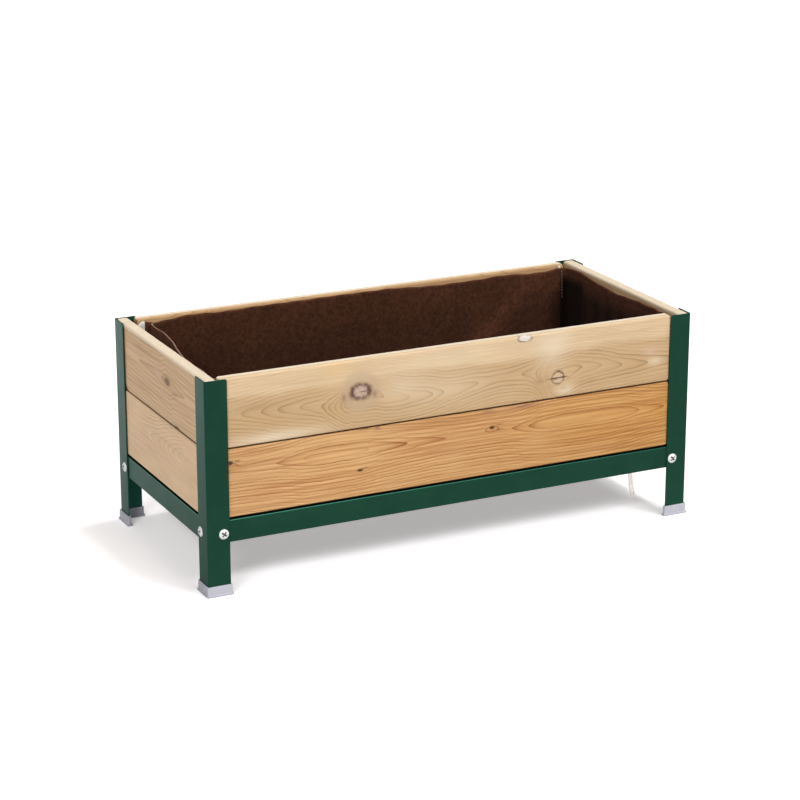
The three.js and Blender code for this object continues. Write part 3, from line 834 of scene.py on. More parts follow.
class Plank(NamedTuple):
    """What one board's grain looks like: the height of its ring axis and the rings counted on it, both as
    points along the board, then the rings off that axis and how strongly they show; how strong the painted
    highlight along its top edge is and between which depths it shows; and at which levels and spots the rings
    are hushed. Knots lie over the stains and under the marks."""

    seed: float
    axis: tuple
    count: tuple
    flat: float = 0.012
    spacing: float = 0.0068
    wander: float = 0.006
    band: float = 0.5
    line: float = 0.8
    streak: float = 0.12
    honey: bool = False
    heart: float = 0.85
    planed: float = 0.25
    bright: tuple = (-0.02, -0.01)
    quiet: tuple = (0.2, 0.3)
    hush: tuple = ()
    knots: tuple = ()
    stains: tuple = ()
    marks: tuple = ()


def pin_knot(along, up, radius, stretch, swirl):
    """A small dead branch, dark right through."""
    return Knot(along, up, radius, stretch, 0.3, bark=0.5, heart=DARK_HEART, pale=0.95, star=0.0, swirl=swirl)


PLANKS = {
    "front_upper": Plank(
        seed=1.3, quiet=(0.014, 0.030), spacing=0.0056, line=0.95, planed=1.0, bright=(0.004, 0.010),
        axis=(
            (-0.425, -0.004), (-0.328, -0.006), (-0.245, -0.012), (-0.215, -0.017), (-0.195, -0.010),
            (-0.175, 0.001), (-0.132, -0.010), (-0.043, -0.019), (0.038, -0.012), (0.135, -0.008),
            (0.201, -0.021), (0.249, -0.012), (0.329, -0.017), (0.435, -0.021),
        ),
        count=(
            (-0.425, 12), (-0.354, 10), (-0.328, 9), (-0.285, 8), (-0.246, 7), (-0.234, 6), (-0.222, 5),
            (-0.213, 4), (-0.204, 3), (-0.195, 2), (-0.175, 0), (-0.132, 1), (-0.089, 2), (-0.043, 3),
            (-0.018, 4), (0.038, 5), (0.085, 5.6), (0.135, 5), (0.156, 4), (0.190, -4), (0.201, -5),
            (0.249, -4), (0.292, -3), (0.329, -2), (0.385, -1), (0.435, -0.3),
        ),
        hush=((-0.218, 0.018, 0.034, 0.014), (-0.135, 0.018, 0.03, 0.012)),
        knots=(
            Knot(-0.1748, 0.0045, 0.0142, 1.28, 0.95, bark=0.27, pale=0.8, star=0.45, halo=0.036),
            Knot(0.2005, -0.0237, 0.0122, 1.1, 0.9, bark=0.12, heart=WOOD_HEART, star=0.0, crack=0.0195),
            Knot(0.1350, 0.0555, 0.0066, 2.3, 0.85, bark=0.14, heart=WHITE_HEART, pale=0.7, star=0.0),
        ),
        stains=(
            # The cream stains paint pale patches and, in part, the board's sheen.
            Stain(0.187, 0.032, 0.034, 0.034, CREAM, 0.5),
            Stain(0.214, -0.046, 0.018, 0.010, CREAM, 0.7),
            Stain(-0.33, -0.052, 0.08, 0.011, CREAM, 0.65),
            Stain(-0.22, 0.050, 0.03, 0.016, WARM, 0.5),
            Stain(-0.10, 0.004, 0.04, 0.022, CREAM, 0.35),
            Stain(-0.151, -0.002, 0.008, 0.007, DUSKY, 0.8),
            Stain(-0.203, -0.006, 0.010, 0.009, DUSKY, 0.8),
            Stain(-0.36, 0.003, 0.05, 0.007, DUSKY, 0.45),
            Stain(0.166, -0.026, 0.012, 0.006, DUSKY, 0.7),
            Stain(0.212, -0.043, 0.009, 0.004, DUSKY, 0.5),
            Stain(-0.02, -0.012, 0.09, 0.03, CREAM, 0.3),
            Stain(-0.01, 0.042, 0.11, 0.018, CREAM, 0.2),
            Stain(0.0, -0.030, 1.0, 0.050, (1.0, 0.99, 0.95), 1.0, "MULTIPLY"),
            Stain(0.385, 0.000, 0.016, 0.008, PINKISH, 0.6),
            Stain(0.396, -0.020, 0.014, 0.008, CREAM, 0.5),
        ),
        marks=(
            Stain(-0.1700, 0.0038, 0.0080, 0.0012, BARK, 0.75),
            Stain(-0.1920, 0.0020, 0.0040, 0.0080, BARK, 0.5),
            Stain(-0.2058, -0.0020, 0.0035, 0.0060, BROWN, 0.6),
            Stain(-0.1490, -0.0033, 0.0035, 0.0060, BROWN, 0.6),
            Stain(0.2015, -0.0118, 0.0052, 0.0020, BARK, 0.95),
            Stain(0.1950, -0.0245, 0.0055, 0.0018, BARK, 0.9),
            Stain(0.2110, -0.0230, 0.0055, 0.0017, BARK, 0.8),
        ),
    ),
    "front_lower": Plank(
        seed=4.7, flat=0.009, spacing=0.0055, wander=0.005, band=0.95, line=0.85, streak=0.5, honey=True,
        axis=((-0.435, 0.022), (-0.2, 0.022), (0.1, 0.018), (0.435, 0.0155)),
        count=(
            (-0.435, 3), (-0.328, 2), (-0.304, 1.5), (-0.225, 0.5), (-0.130, 1.5), (-0.090, 2), (0.005, 3),
            (0.060, 3.2), (0.145, 2), (0.255, 0.8), (0.330, 1.2), (0.366, 2), (0.425, 3),
        ),
        hush=((0.270, 0.016, 0.130, 0.011), (-0.225, 0.022, 0.080, 0.008)),
        knots=(
            pin_knot(-0.4115, 0.0356, 0.0036, 1.6, 1.4),
            pin_knot(-0.1770, -0.0129, 0.0026, 2.1, 1.0),
            pin_knot(0.0727, 0.0256, 0.0032, 1.5, 1.5),
        ),
        stains=(
            Stain(0.340, 0.000, 0.260, 0.120, AMBER, 0.9, "MULTIPLY"),
            Stain(0.430, 0.000, 0.050, 0.100, AMBER, 0.5, "MULTIPLY"),
            Stain(-0.150, 0.000, 0.300, 0.200, (1.05, 1.05, 0.97), 1.0, "MULTIPLY"),
            Stain(-0.290, -0.034, 0.150, 0.028, (1.08, 1.08, 1.08), 1.0, "MULTIPLY"),
            Stain(-0.144, 0.0580, 0.006, 0.004, PLUM, 0.7),
            Stain(0.065, 0.0555, 0.014, 0.003, PLUM, 0.6),
            Stain(0.132, 0.0555, 0.030, 0.003, PLUM, 0.6),
        ),
        marks=(
            Stain(-0.1680, -0.0098, 0.0075, 0.0011, BARK, 0.6),
            Stain(0.086, 0.0290, 0.0085, 0.0012, BARK, 0.6),
            Stain(0.088, 0.0205, 0.0070, 0.0014, BARK, 0.55),
            Stain(-0.399, 0.0370, 0.0060, 0.0022, BARK, 0.6),
            Stain(-0.165, 0.0590, 0.0100, 0.0016, BARK, 0.7),
        ),
    ),
    "left_upper": Plank(
        seed=7.9, line=0.4, band=0.7, streak=0.25, heart=0.5, flat=0.006, spacing=0.008, wander=0.004,
        planed=0.8, quiet=(0.05, 0.07),
        axis=((-0.2, 0.002), (-0.09, 0.004), (-0.034, 0.0113), (0.04, 0.014), (0.2, 0.016)),
        count=(
            (-0.2, 2.4), (-0.10, 1.9), (-0.06, 1.2), (-0.034, 0), (-0.012, 0.9), (0.03, 1.6), (0.10, 2.0),
            (0.2, 2.4),
        ),
        knots=(pin_knot(-0.0341, 0.0113, 0.0062, 1.5, 0.3)._replace(heart=BROWN, pale=0.85),),
        stains=(
            # Painted light: this stain makes the whole board lighter.
            Stain(0.0, 0.0, 1.0, 1.0, (1.13, 1.10, 1.14), 1.0, "MULTIPLY"),
            Stain(0.011, 0.015, 0.015, 0.012, PINKISH, 0.6),
            Stain(-0.030, 0.0115, 0.020, 0.010, BROWN, 0.6),
            Stain(-0.066, -0.001, 0.016, 0.007, BROWN, 0.35),
            Stain(0.085, 0.0365, 0.065, 0.0045, DUSKY, 0.75),
            Stain(0.045, 0.0540, 0.060, 0.0035, DUSKY, 0.6),
            Stain(0.150, 0.0010, 0.030, 0.0030, DUSKY, 0.5),
            Stain(0.080, -0.0260, 0.090, 0.0024, DUSKY, 0.5),
            Stain(0.090, -0.0340, 0.080, 0.0020, DUSKY, 0.5),
        ),
        marks=(
            # Painted shade at the seam and, along the back post's flange, a painted shadow strip.
            Stain(-0.073, -0.0585, 0.012, 0.0036, SEAM, 1.0),
            Stain(0.168, -0.0580, 0.010, 0.0070, SEAM, 1.0),
            Stain(0.172, 0.0, 0.0065, 0.5, SEAM, 0.85),
        ),
    ),
    "left_lower": Plank(
        seed=11.1, line=0.62, band=0.12, flat=0.012, spacing=0.0063, wander=0.003, heart=0.1,
        quiet=(0.055, 0.07),
        axis=((-0.2, 0.015), (0.2, 0.013)),
        count=(
            (-0.2, -6), (-0.05, -1.05), (-0.0277, 0), (-0.0062, 1), (0.0152, 2), (0.0535, 3), (0.09, 3.4),
            (0.2, 3.8),
        ),
        hush=((0.13, 0.0, 0.045, 0.2), (-0.14, 0.0, 0.06, 0.2), (0.0, -0.045, 0.4, 0.026)),
        # Painted light: the one stain makes the whole board lighter.
        stains=(Stain(0.0, 0.0, 1.0, 1.0, (1.15, 1.11, 1.14), 1.0, "MULTIPLY"),),
        # Painted shadow strip along the back post's flange.
        marks=(Stain(0.173, 0.0, 0.0035, 0.5, SEAM, 0.7),),
    ),
    "right_upper": Plank(
        seed=13.7, line=0.6, planed=0.8,
        axis=((-0.2, 0.026), (0.2, 0.014)),
        count=((-0.2, 5), (0.0, 2), (0.09, 0), (0.2, 3)),
        knots=(Knot(0.09, 0.018, 0.009, 1.25, 0.7),),
    ),
    "right_lower": Plank(
        seed=17.3, line=0.55,
        axis=((-0.2, -0.036), (0.2, -0.024)),
        count=((-0.2, 3), (-0.07, 0), (0.2, 5)),
        knots=(pin_knot(-0.12, 0.03, 0.004, 1.6, 1.0),),
    ),
    "back_upper": Plank(
        seed=19.9, line=0.7, planed=1.0, bright=(0.018, 0.012),
        axis=((-0.43, 0.003), (0.43, 0.013)),
        count=(
            (-0.43, 6), (-0.3, 3), (-0.24, 0), (-0.18, 2), (-0.05, 5), (0.09, 3), (0.14, 0), (0.2, 3),
            (0.43, 8),
        ),
        # Painted shade: this stain makes the whole board darker and warmer.
        stains=(Stain(0.0, 0.0, 2.0, 1.0, (0.9, 0.8, 0.7), 1.0, "MULTIPLY"),),
        knots=(
            Knot(0.14, 0.014, 0.0115, 1.2, 0.75, halo=0.028),
            Knot(-0.24, 0.004, 0.0085, 1.3, 0.6, heart=WOOD_HEART, star=0.0, crack=0.014),
        ),
    ),
    "back_lower": Plank(
        seed=23.3, line=0.65, spacing=0.006,
        axis=((-0.43, -0.015), (0.43, -0.025)),
        count=((-0.43, 7), (-0.2, 3), (-0.12, 0), (-0.04, 3), (0.1, 5), (0.26, 2), (0.43, 5)),
        knots=(Knot(-0.12, -0.018, 0.0095, 1.2, 0.7), pin_knot(0.33, 0.03, 0.0035, 1.6, 1.0)),
    ),
}


def spot(w, board, along, up, reach, rise):
    """Mask of a soft spot on a board."""
    return w.use(soft_spot, board=board, place=(along, 0.0, up), reach=(reach, 1.0, rise))["mask"]


# How far a knot pushes the rings aside along and across the grain, as shares of its size.
SWIRL_ALONG = 3.0
SWIRL_ACROSS = 2.2


def ring_field(w, plank, board):
    """Ring count over the face: the trunk's rings about their axis, less what small knots push aside."""
    along = w.split(board)[0]
    rings = w.use(
        trunk_rings, board=board, count=w.curve(along, plank.count), axis=w.curve(along, plank.axis),
        flat=plank.flat, spacing=plank.spacing, wander=plank.wander, seed=plank.seed,
    )["rings"]
    for knot in plank.knots:
        if knot.swirl:
            reach = SWIRL_ALONG * knot.radius * knot.stretch
            mask = spot(w, board, knot.along, knot.up, reach, SWIRL_ACROSS * knot.radius)
            rings = w.math("MULTIPLY_ADD", mask, -knot.swirl, rings)
    return rings


def add_knot(w, board, knot, colour):
    """Lays one knot over the wood's colour: the grey disc round it, its ringed heart, star, bark, crack."""
    place = (knot.along, 0.0, knot.up)
    if knot.halo:
        disc = spot(w, board, knot.along, knot.up, knot.halo, knot.halo)
        colour = w.mix(w.ease(disc, 0.2, 0.55, 0.0, 0.6), colour, GREY_HALO)
    parts = w.use(
        branch_knot, board=board, place=place, radius=knot.radius, stretch=knot.stretch, bark=knot.bark
    )
    ringed = w.mix(w.times(parts["rings"], 0.3), knot.heart, toned(knot.heart, 0.55))
    colour = w.mix(w.times(parts["disc"], knot.pale), colour, ringed)
    if knot.star:
        colour = w.mix(w.times(parts["spokes"], knot.star), colour, BARK)
    patchy = w.noise(board, BARK_PATCHES)
    rim = w.times(parts["rim"], w.ease(patchy, 0.3, 0.62, 0.35 * knot.dark, knot.dark))
    colour = w.mix(rim, colour, BARK)
    if knot.crack:
        crack = w.use(drying_crack, board=board, place=place, length=knot.crack)["crack"]
        colour = w.mix(w.times(crack, 0.95), colour, CRACK)
    return colour


# Where each seam's painted shade starts and is darkest, in from the edge, and how dark it gets.
LONG_SEAM = (1.6 * MM, 0.3 * MM, 0.9)
GROOVE_SEAM = (3.4 * MM, 1.4 * MM, 0.95)
END_SEAM = (1.2 * MM, 0.2 * MM, 0.45)


def board_edges(w, board, half_length, half_height, meets_above):
    """Mask of the painted shade in the seams: close to the long edges that meet another piece and on the sawn
    ends. A lower board gets it further up, where it stands in the rail's groove."""

    def seam(value, half, band):
        start, darkest, dark = band
        return w.ease(value, half - start, half - darkest, 0.0, dark)

    along, _, up = w.split(board)
    down = w.times(up, -1.0)
    below = seam(down, half_height, GROOVE_SEAM if meets_above else LONG_SEAM)
    if meets_above:
        below = w.math("MAXIMUM", seam(up, half_height, LONG_SEAM), below)
    return w.math("MAXIMUM", below, seam(w.math("ABSOLUTE", along), half_length, END_SEAM))


# How far clouds shift the level above which the rings fade, and what is left of the late wood's red, green
# and blue in the thin lines.
LEVEL_SHIFT = 30 * MM
LINE_TONE = (0.5, 0.44, 0.36)


def grain_colour(w, plank, board, moved, patchy, grain, tones):
    """Early wood, patchy and deeper along the ring axis, under the late wood's bands and lines, which fade
    above a level and at the hushed spots."""
    early, heart, late = tones
    clouds = w.noise(moved, CLOUDS, 4.0, 0.6)
    level = w.math("MULTIPLY_ADD", w.math("SUBTRACT", clouds, 0.5), LEVEL_SHIFT, w.split(board)[2])
    clear = w.ease(level, *plank.quiet, 1.0, 0.0)
    deep = w.times(clear, w.ease(clouds, 0.3, 0.7, 0.7 * plank.heart, plank.heart))
    ground = w.mix(deep, w.mix(w.ease(patchy, 0.3, 0.7), toned(early, 0.94), early), heart)
    shown = w.times(w.ease(clear, 0.0, 1.0, 0.2, 1.0), w.ease(patchy, 0.3, 0.6, 0.5, 1.0))
    for place in plank.hush:
        shown = w.times(shown, w.ease(spot(w, board, *place), 0.1, 0.9, 1.0, 0.15))
    banded = w.times(w.times(grain["band"], shown), plank.band)
    lined = w.times(w.times(grain["line"], shown), plank.line)
    line_colour = tuple(part * c for part, c in zip(LINE_TONE, late))
    return w.mix(lined, w.mix(banded, ground, late), line_colour)


def fibre_colour(w, plank, moved, fibres, late, colour):
    """Lays long streaks of late wood, fine fibres and pores over the grain's colour."""
    streaks = w.noise(moved, STREAKS, 3.0, 0.6)
    colour = w.mix(w.ease(streaks, 0.4, 0.64, 0.0, plank.streak), colour, late)
    colour = w.mix(w.ease(fibres["streak"], 0.3, 0.72, 0.0, 0.2), colour, late)
    return w.mix(w.times(fibres["pores"], 0.22), colour, PORE)


def marked_colour(w, plank, board, patchy, colour):
    """Lays a board's stains, knots and marks over the wood's colour, in that order."""
    for stain in plank.stains:
        mask = spot(w, board, *stain[:4])
        uneven = w.times(mask, w.ease(patchy, 0.2, 0.6, 0.7 * stain.share, stain.share))
        colour = w.mix(uneven, colour, stain.colour, stain.blend)
    for knot in plank.knots:
        colour = add_knot(w, board, knot, colour)
    for mark in plank.marks:
        mask = spot(w, board, *mark[:4])
        colour = w.mix(w.times(mask, mark.share), colour, mark.colour)
    return colour


# How far under the top edge the painted highlight starts to show and is palest.
PLANED_START = 8 * MM
PLANED_FULL = 2 * MM


def planed_edge(w, plank, board, half_height):
    """Mask of the painted highlight at a board's top edge, between the depths at which it shows."""
    _, depth, up = w.split(board)
    near_top = w.ease(up, half_height - PLANED_START, half_height - PLANED_FULL, 0.0, plank.planed)
    return w.times(near_top, w.ease(depth, *plank.bright))


def board_finish(name, plank, half_length, half_height, tones):
    """Planed pine: growth bands and lines over a cloudy ground that deepens along the ring axis, fibres,
    stains, knots, a painted highlight along the top edge and painted shade in the seams."""
    material, w = new_finish(f"{name}_wood", {"Specular IOR Level": 0.3})
    board = w.note("board", "Vector")
    moved = w.vector("ADD", board, (plank.seed, 0.0, 0.0))
    patchy = w.noise(moved, PATCHES)
    grain = w.use(growth_lines, rings=ring_field(w, plank, board), seed=plank.seed)
    fibres = w.use(wood_fibres, board=board, seed=plank.seed)
    colour = grain_colour(w, plank, board, moved, patchy, grain, tones)
    colour = fibre_colour(w, plank, moved, fibres, tones[-1], colour)
    colour = marked_colour(w, plank, board, patchy, colour)
    meets_above = not name.endswith("upper")
    if not meets_above:
        # Painted highlight along an upper board's top edge.
        colour = w.mix(planed_edge(w, plank, board, half_height), colour, CREAM)
    # Painted shade along the seams.
    colour = w.mix(board_edges(w, board, half_length, half_height, meets_above), colour, SEAM)
    height = w.math("MULTIPLY_ADD", grain["band"], 0.5, w.times(fibres["streak"], 0.8))
    w.dress(colour, w.ease(fibres["streak"], 0.25, 0.75, 0.5, 0.68), w.bump(height, 0.22 * MM, 0.5))
    return material


# Places along a board, from one rounded end to the other.
BOARD_PLACES = 40


def board_section(thick, tall, radius):
    """Rounded rectangle: depth from the outer face against height from the middle."""
    rise = tall / 2 - radius
    centres = ((thick - radius, rise), (radius, rise), (radius, -rise), (thick - radius, -rise))
    arcs = [rounded_corner(c, radius, turn, turn + 1, ARC_POINTS) for turn, c in enumerate(centres)]
    return np.concatenate(arcs)


def board_stations(half, thick, tall, sizes):
    """Places along a board, close together at its ends, and the shares of thickness and height left there."""
    turn = np.linspace(0.0, QUARTER, ARC_POINTS)
    from_end = np.concatenate([[0.0], sizes.round_end * (1 - np.cos(turn))])
    drawn_in = np.concatenate([[1.0], 1 - np.sin(turn)])
    width_left = 1 - 2 * drawn_in * sizes.ease_end / thick
    height_left = 1 - 2 * drawn_in * sizes.round_end / tall
    width_left[0] = 0.0
    height_left[0] = 1 - (thick + 2 * sizes.round_end) / tall
    ends = half - from_end
    between = np.linspace(ends[-1], -ends[-1], BOARD_PLACES)[1:-1]
    along = np.concatenate([ends, between, -ends[::-1]])
    full = np.ones(len(between))
    left = [np.concatenate([share, full, share[::-1]])[:, None] for share in (width_left, height_left)]
    return along[:, None], *left


def board_surface(name, outward, sizes):
    """Board: a rounded rectangle carried along the grain. Over the last millimetres its height and
    thickness draw in by quarter circles, and the end closes on the middle line of the section."""
    box = side_box(f"board_{name}", outward)
    tall = box.high - box.low
    section = board_section(box.thick, tall, sizes.round_edge)
    along, width_left, height_left = board_stations(box.half, box.thick, tall, sizes)
    depth = box.thick / 2 + (section[:, 0] - box.thick / 2) * width_left
    rise = section[:, 1] * height_left
    points = on_side(outward, box.middle + along, depth, (box.low + box.high) / 2 + rise, box.outer)
    faces = grid(len(along), len(section), wrap=True)
    mesh = make_mesh(f"plank_{name}", points, faces, {"board": spatial(along, depth, rise)})
    return mesh, box.half, tall / 2


# Steel

# Points on a bend, width of the strip along a free edge that can look worn, how deep the painted highlight
# on a rail's bend reaches, and how much of that painted highlight is left at a rail's other end.
BEND_POINTS = 9
WORN_STRIP = 0.6 * MM
GLINT_DEPTH = 0.4 * MM
FAR_GLINT = 0.2


def folded_section(leg, ledge, sheet, bend, clip):
    """Outer and inner line of a folded strip, from one free edge round the bend to the other, and how
    near each point of both, one after the other, is to a free edge, from 0 to 1."""
    turn = np.linspace(1.5, 1.0, BEND_POINTS) * math.pi
    first = np.array([leg, leg - WORN_STRIP, leg - clip])
    last = np.array([ledge - clip, ledge - WORN_STRIP, ledge])

    def line(inset):
        arc = bend + (bend - inset) * np.stack([np.cos(turn), np.sin(turn)], axis=1)
        start = np.stack([first, np.full(3, inset)], axis=1)
        end = np.stack([np.full(3, inset), last], axis=1)
        return np.concatenate([start, arc, end])

    outer = line(0.0)
    near = np.zeros(len(outer))
    near[[0, -1]] = 1.0
    return outer, line(sheet), np.tile(near, 2)


def strip_faces(count):
    """Faces of a strip with an outer and an inner line of so many points each, between two end rows."""
    loop = 2 * count
    step = np.arange(count - 1)
    cap = np.stack([step, step + 1, loop - 2 - step, loop - 1 - step], axis=1)
    return np.concatenate([grid(2, loop, wrap=True), cap, cap + loop])


def post_surface(corner, steel):
    """Post: the folded section carried from the foot to the top, where each flange's free corner is
    clipped at 45 degrees."""
    low, high = node_box(f"post_{corner}")
    leg = high[0] - low[0]
    outer, inner, edge = folded_section(leg, leg, steel.sheet, steel.bend, steel.clip)
    loop = np.concatenate([outer, inner[::-1]])
    top = high[2] - np.maximum(0.0, steel.clip - (leg - loop.max(axis=1)))
    heights = np.stack([np.full(len(loop), low[2]), top])
    points = at_corner(corner, low, high, loop[:, 0], loop[:, 1], heights)
    notes = {"edge": np.tile(edge, 2)[:, None]}
    return make_mesh(f"folded_post_{corner}", points, strip_faces(len(outer)), notes)


def rail_surface(side, steel):
    """Rail: the folded section, one leg hanging and one reaching in, carried along the side; each end is
    cut at 45 degrees, so the further in a point lies, the sooner it ends."""
    outward = SIDES[side]
    box = side_box(f"rail_{side}", outward)
    outer, inner, edge = folded_section(box.high - box.low, box.thick, steel.sheet, steel.bend, steel.clip)
    loop = np.concatenate([outer, inner[::-1]])
    deep = outer[:, 1]
    # Painted highlight on the outer skin of the bend, fading towards the rail's far end.
    glint = np.concatenate([(deep > 0.0) & (deep < GLINT_DEPTH), np.zeros(len(inner))])
    end = box.half - loop[:, 1]
    along = box.middle + np.stack([-end, end])
    points = on_side(outward, along, loop[:, 1], box.high - loop[:, 0], box.outer)
    notes = {"edge": np.tile(edge, 2)[:, None], "glint": np.concatenate([glint, FAR_GLINT * glint])[:, None]}
    faces = strip_faces(len(outer))
    mesh = make_mesh(f"folded_rail_{side}", points, faces, notes)
    # Faces deeper in the bend take the painted groove shade.
    in_groove = np.zeros(len(faces), dtype=np.int32)
    in_groove[: len(outer) - 1] = (deep[:-1] + deep[1:]) / 2 > GLINT_DEPTH
    mesh.polygons.foreach_set("material_index", in_groove)
    return mesh


# Fittings

# Bolt: its shank, the chamfer at its tip, the fillet under its head, the straight rim of the head, where the
# dome ends, and how it rounds into that rim, in from its side and along it.
SHANK = 4 * MM
TIP_CHAMFER = 0.8 * MM
HEAD_FILLET = 0.4 * MM
HEAD_RIM = 0.8 * MM
DOME_END = 0.35 * MM
RIM_ROUND = ((0.08 * MM, -0.1 * MM), (0.0, 0.25 * MM))

# Points from the middle of a bolt's dome to its rim, and round the bolt.
DOME_POINTS = 30
ROUND_POINTS = 72

# Cross in the head: half the width and the reach of an arm, how softly its sides and ends rise, and how much
# of the dome's curve its floor loses.
ARM = 1.4 * MM
ARM_REACH = 5.2 * MM
ARM_SIDE = 0.45 * MM
ARM_END = 0.8 * MM
FLOOR_CURVE = 0.6


def dome_drop(radius, ball):
    """How far a ball's surface has dropped at a radius from its top."""
    return ball - np.sqrt(np.maximum(ball * ball - radius * radius, 0.0))


def bolt_profile(head, length, rise, ball):
    """Radius against depth, from the middle of the domed head to the tip, and the number of points on it that
    make the dome."""
    reach = np.linspace(0.0, 1.0, DOME_POINTS) * (head - DOME_END)
    dome = np.stack([reach, dome_drop(reach, ball)], axis=1)
    under = rise + HEAD_RIM
    side = [[head - inset, rise + down] for inset, down in RIM_ROUND]
    neck = [[head, under], [SHANK + HEAD_FILLET, under], [SHANK, under + HEAD_FILLET]]
    tip = [[SHANK, length - TIP_CHAMFER], [SHANK - TIP_CHAMFER, length], [0.0, length]]
    return np.concatenate([dome, side, neck, tip]), len(reach)


def cross_mask(first, second):
    """1 on the arms of a cross along two directions, 0 beside them."""

    def arm(long, wide):
        inside = np.clip((ARM - np.abs(wide)) / ARM_SIDE + 0.5, 0, 1)
        return inside * np.clip((ARM_REACH - np.abs(long)) / ARM_END + 0.5, 0, 1)

    return np.maximum(arm(first, second), arm(second, first))


def bolt_surface(node, outward, turn, fittings):
    """Bolt: a profile of radius against depth, turned about the bolt's line, from the middle of the domed
    head over its rim and along the shank to the tip. The dome sinks where either arm of a cross, turned by
    an angle, passes."""
    low, high = node_box(node)
    across = across_side(outward)
    middle = (low + high) / 2
    head = (high[2] - low[2]) / 2
    ball = (head * head + fittings.dome * fittings.dome) / (2 * fittings.dome)
    profile, on_dome = bolt_profile(head, high[across] - low[across], fittings.dome, ball)
    angle = np.linspace(0.0, 2 * math.pi, ROUND_POINTS, endpoint=False)
    radius = profile[:, :1]
    sunk = cross_mask(radius * np.cos(angle + turn), radius * np.sin(angle + turn))
    sunk[on_dome:] = 0.0
    depth = profile[:, 1:] + sunk * (fittings.recess - FLOOR_CURVE * dome_drop(radius, ball))
    along = middle[1 - across] + radius * np.cos(angle)
    start = high[across] if outward[across] > 0 else low[across]
    points = on_side(outward, along, depth, middle[2] + radius * np.sin(angle), start)
    faces = grid(len(profile), len(angle), wrap=True)
    return make_mesh(f"turned_{node}", points, faces, {"sunk": sunk.reshape(-1, 1)})


# Foot cap: the room round the steel, how far the lip stands out, the rounding of the outline and half of
# what stays flat at a leg's end, the rounding of the sole, the lip's height, the sweep from the lip to the
# wall, the rounding of the rim and the room under the post.
FOOT_ROOM = 0.35 * MM
FOOT_LIP = 1.6 * MM
FOOT_ROUND = 2.4 * MM
HALF_FLAT = 0.1 * MM
SOLE_ROUND = ((0.7 * MM, 0.0), (0.2 * MM, 0.2 * MM), (0.0, 0.7 * MM))
LIP_TOP = 3.0 * MM
SWEEP_START = 3.4 * MM
SWEEP_RISE = 1.2 * MM
RIM_RISE = 0.8 * MM
POST_ROOM = 0.3 * MM


def angle_outline(leg, sheet, grow, soft):
    """Outline of an angle section grown by a distance: six corners, each an arc of six points."""
    low = -grow
    high = leg + grow
    web = sheet + grow
    small = min(soft, (web - low) / 2 - HALF_FLAT)
    corners = (
        (low + soft, low + soft, soft, 2, 3),
        (high - small, low + small, small, 3, 4),
        (high - small, web - small, small, 0, 1),
        (web + soft, web + soft, soft, 3, 2),
        (web - small, high - small, small, 0, 1),
        (low + small, high - small, small, 1, 2),
    )
    arcs = [rounded_corner((x, y), radius, start, end, 6) for x, y, radius, start, end in corners]
    return np.concatenate(arcs)


def foot_rows(lip, top, sole):
    """How far the outline is grown, against height, from the sole's edge to the rim and down the pocket."""
    wall = lip - FOOT_LIP
    curve = np.linspace(0.0, QUARTER, ARC_POINTS)
    sweep = [wall + FOOT_LIP * (1 - np.sin(curve)), SWEEP_START + SWEEP_RISE * (1 - np.cos(curve))]
    ring = np.linspace(0.0, math.pi, ARC_POINTS)
    half_wall = (wall - FOOT_ROOM) / 2
    rim = [FOOT_ROOM + half_wall + half_wall * np.cos(ring), top - RIM_RISE + RIM_RISE * np.sin(ring)]
    edge = [[lip - inset, height] for inset, height in SOLE_ROUND] + [[lip, LIP_TOP]]
    return np.concatenate([edge, np.transpose(sweep), np.transpose(rim), [[FOOT_ROOM, sole]]])


def foot_surface(corner, sheet):
    """Foot cap: an angle outline carried up and down again. From the sole's edge it rounds out to the lip,
    sweeps in to the wall along a quarter curve, rolls over the rim and goes down the pocket to its floor;
    the sole and the pocket's floor are flat."""
    low, high = node_box(f"foot_cap_{corner}")
    post_low, post_high = node_box(f"post_{corner}")
    leg = post_high[0] - post_low[0]
    lip = (high[0] - low[0] - leg) / 2
    rows = foot_rows(lip, high[2] - low[2], post_low[2] - low[2] - POST_ROOM)
    loops = np.stack([angle_outline(leg, sheet, grow, FOOT_ROUND) for grow, _ in rows])
    count = loops.shape[1]
    points = at_corner(corner, post_low, post_high, loops[..., 0], loops[..., 1], low[2] + rows[:, 1:])
    caps = [np.arange(count)[::-1], np.arange(count) + count * (len(rows) - 1)]
    faces = grid(len(rows), count, wrap=True)
    return make_mesh(f"moulded_foot_cap_{corner}", points, faces, caps=caps)


# Hose: its clearance under the spout, how far it sways aside and by which power of the drop, the height of
# its cut end over the floor and the number of points on its middle line and round it.
SPOUT_ROOM = 0.3 * MM
HOSE_SWAY = 10 * MM
SWAY_POWER = 1.6
HOSE_END = 20 * MM
HOSE_POINTS = 25
HOSE_SIDES = 28


def hose_route():
    """Middle line of the hose: straight down from the spout, swaying aside as a power of the drop."""
    spout_low, spout_high = node_box("drain_spout")
    exit_x, exit_y = (spout_low[:2] + spout_high[:2]) / 2
    share = np.linspace(0.0, 1.0, HOSE_POINTS)
    top = spout_low[2] - SPOUT_ROOM
    return spatial(exit_x + HOSE_SWAY * share**SWAY_POWER, exit_y, top - (top - HOSE_END) * share)


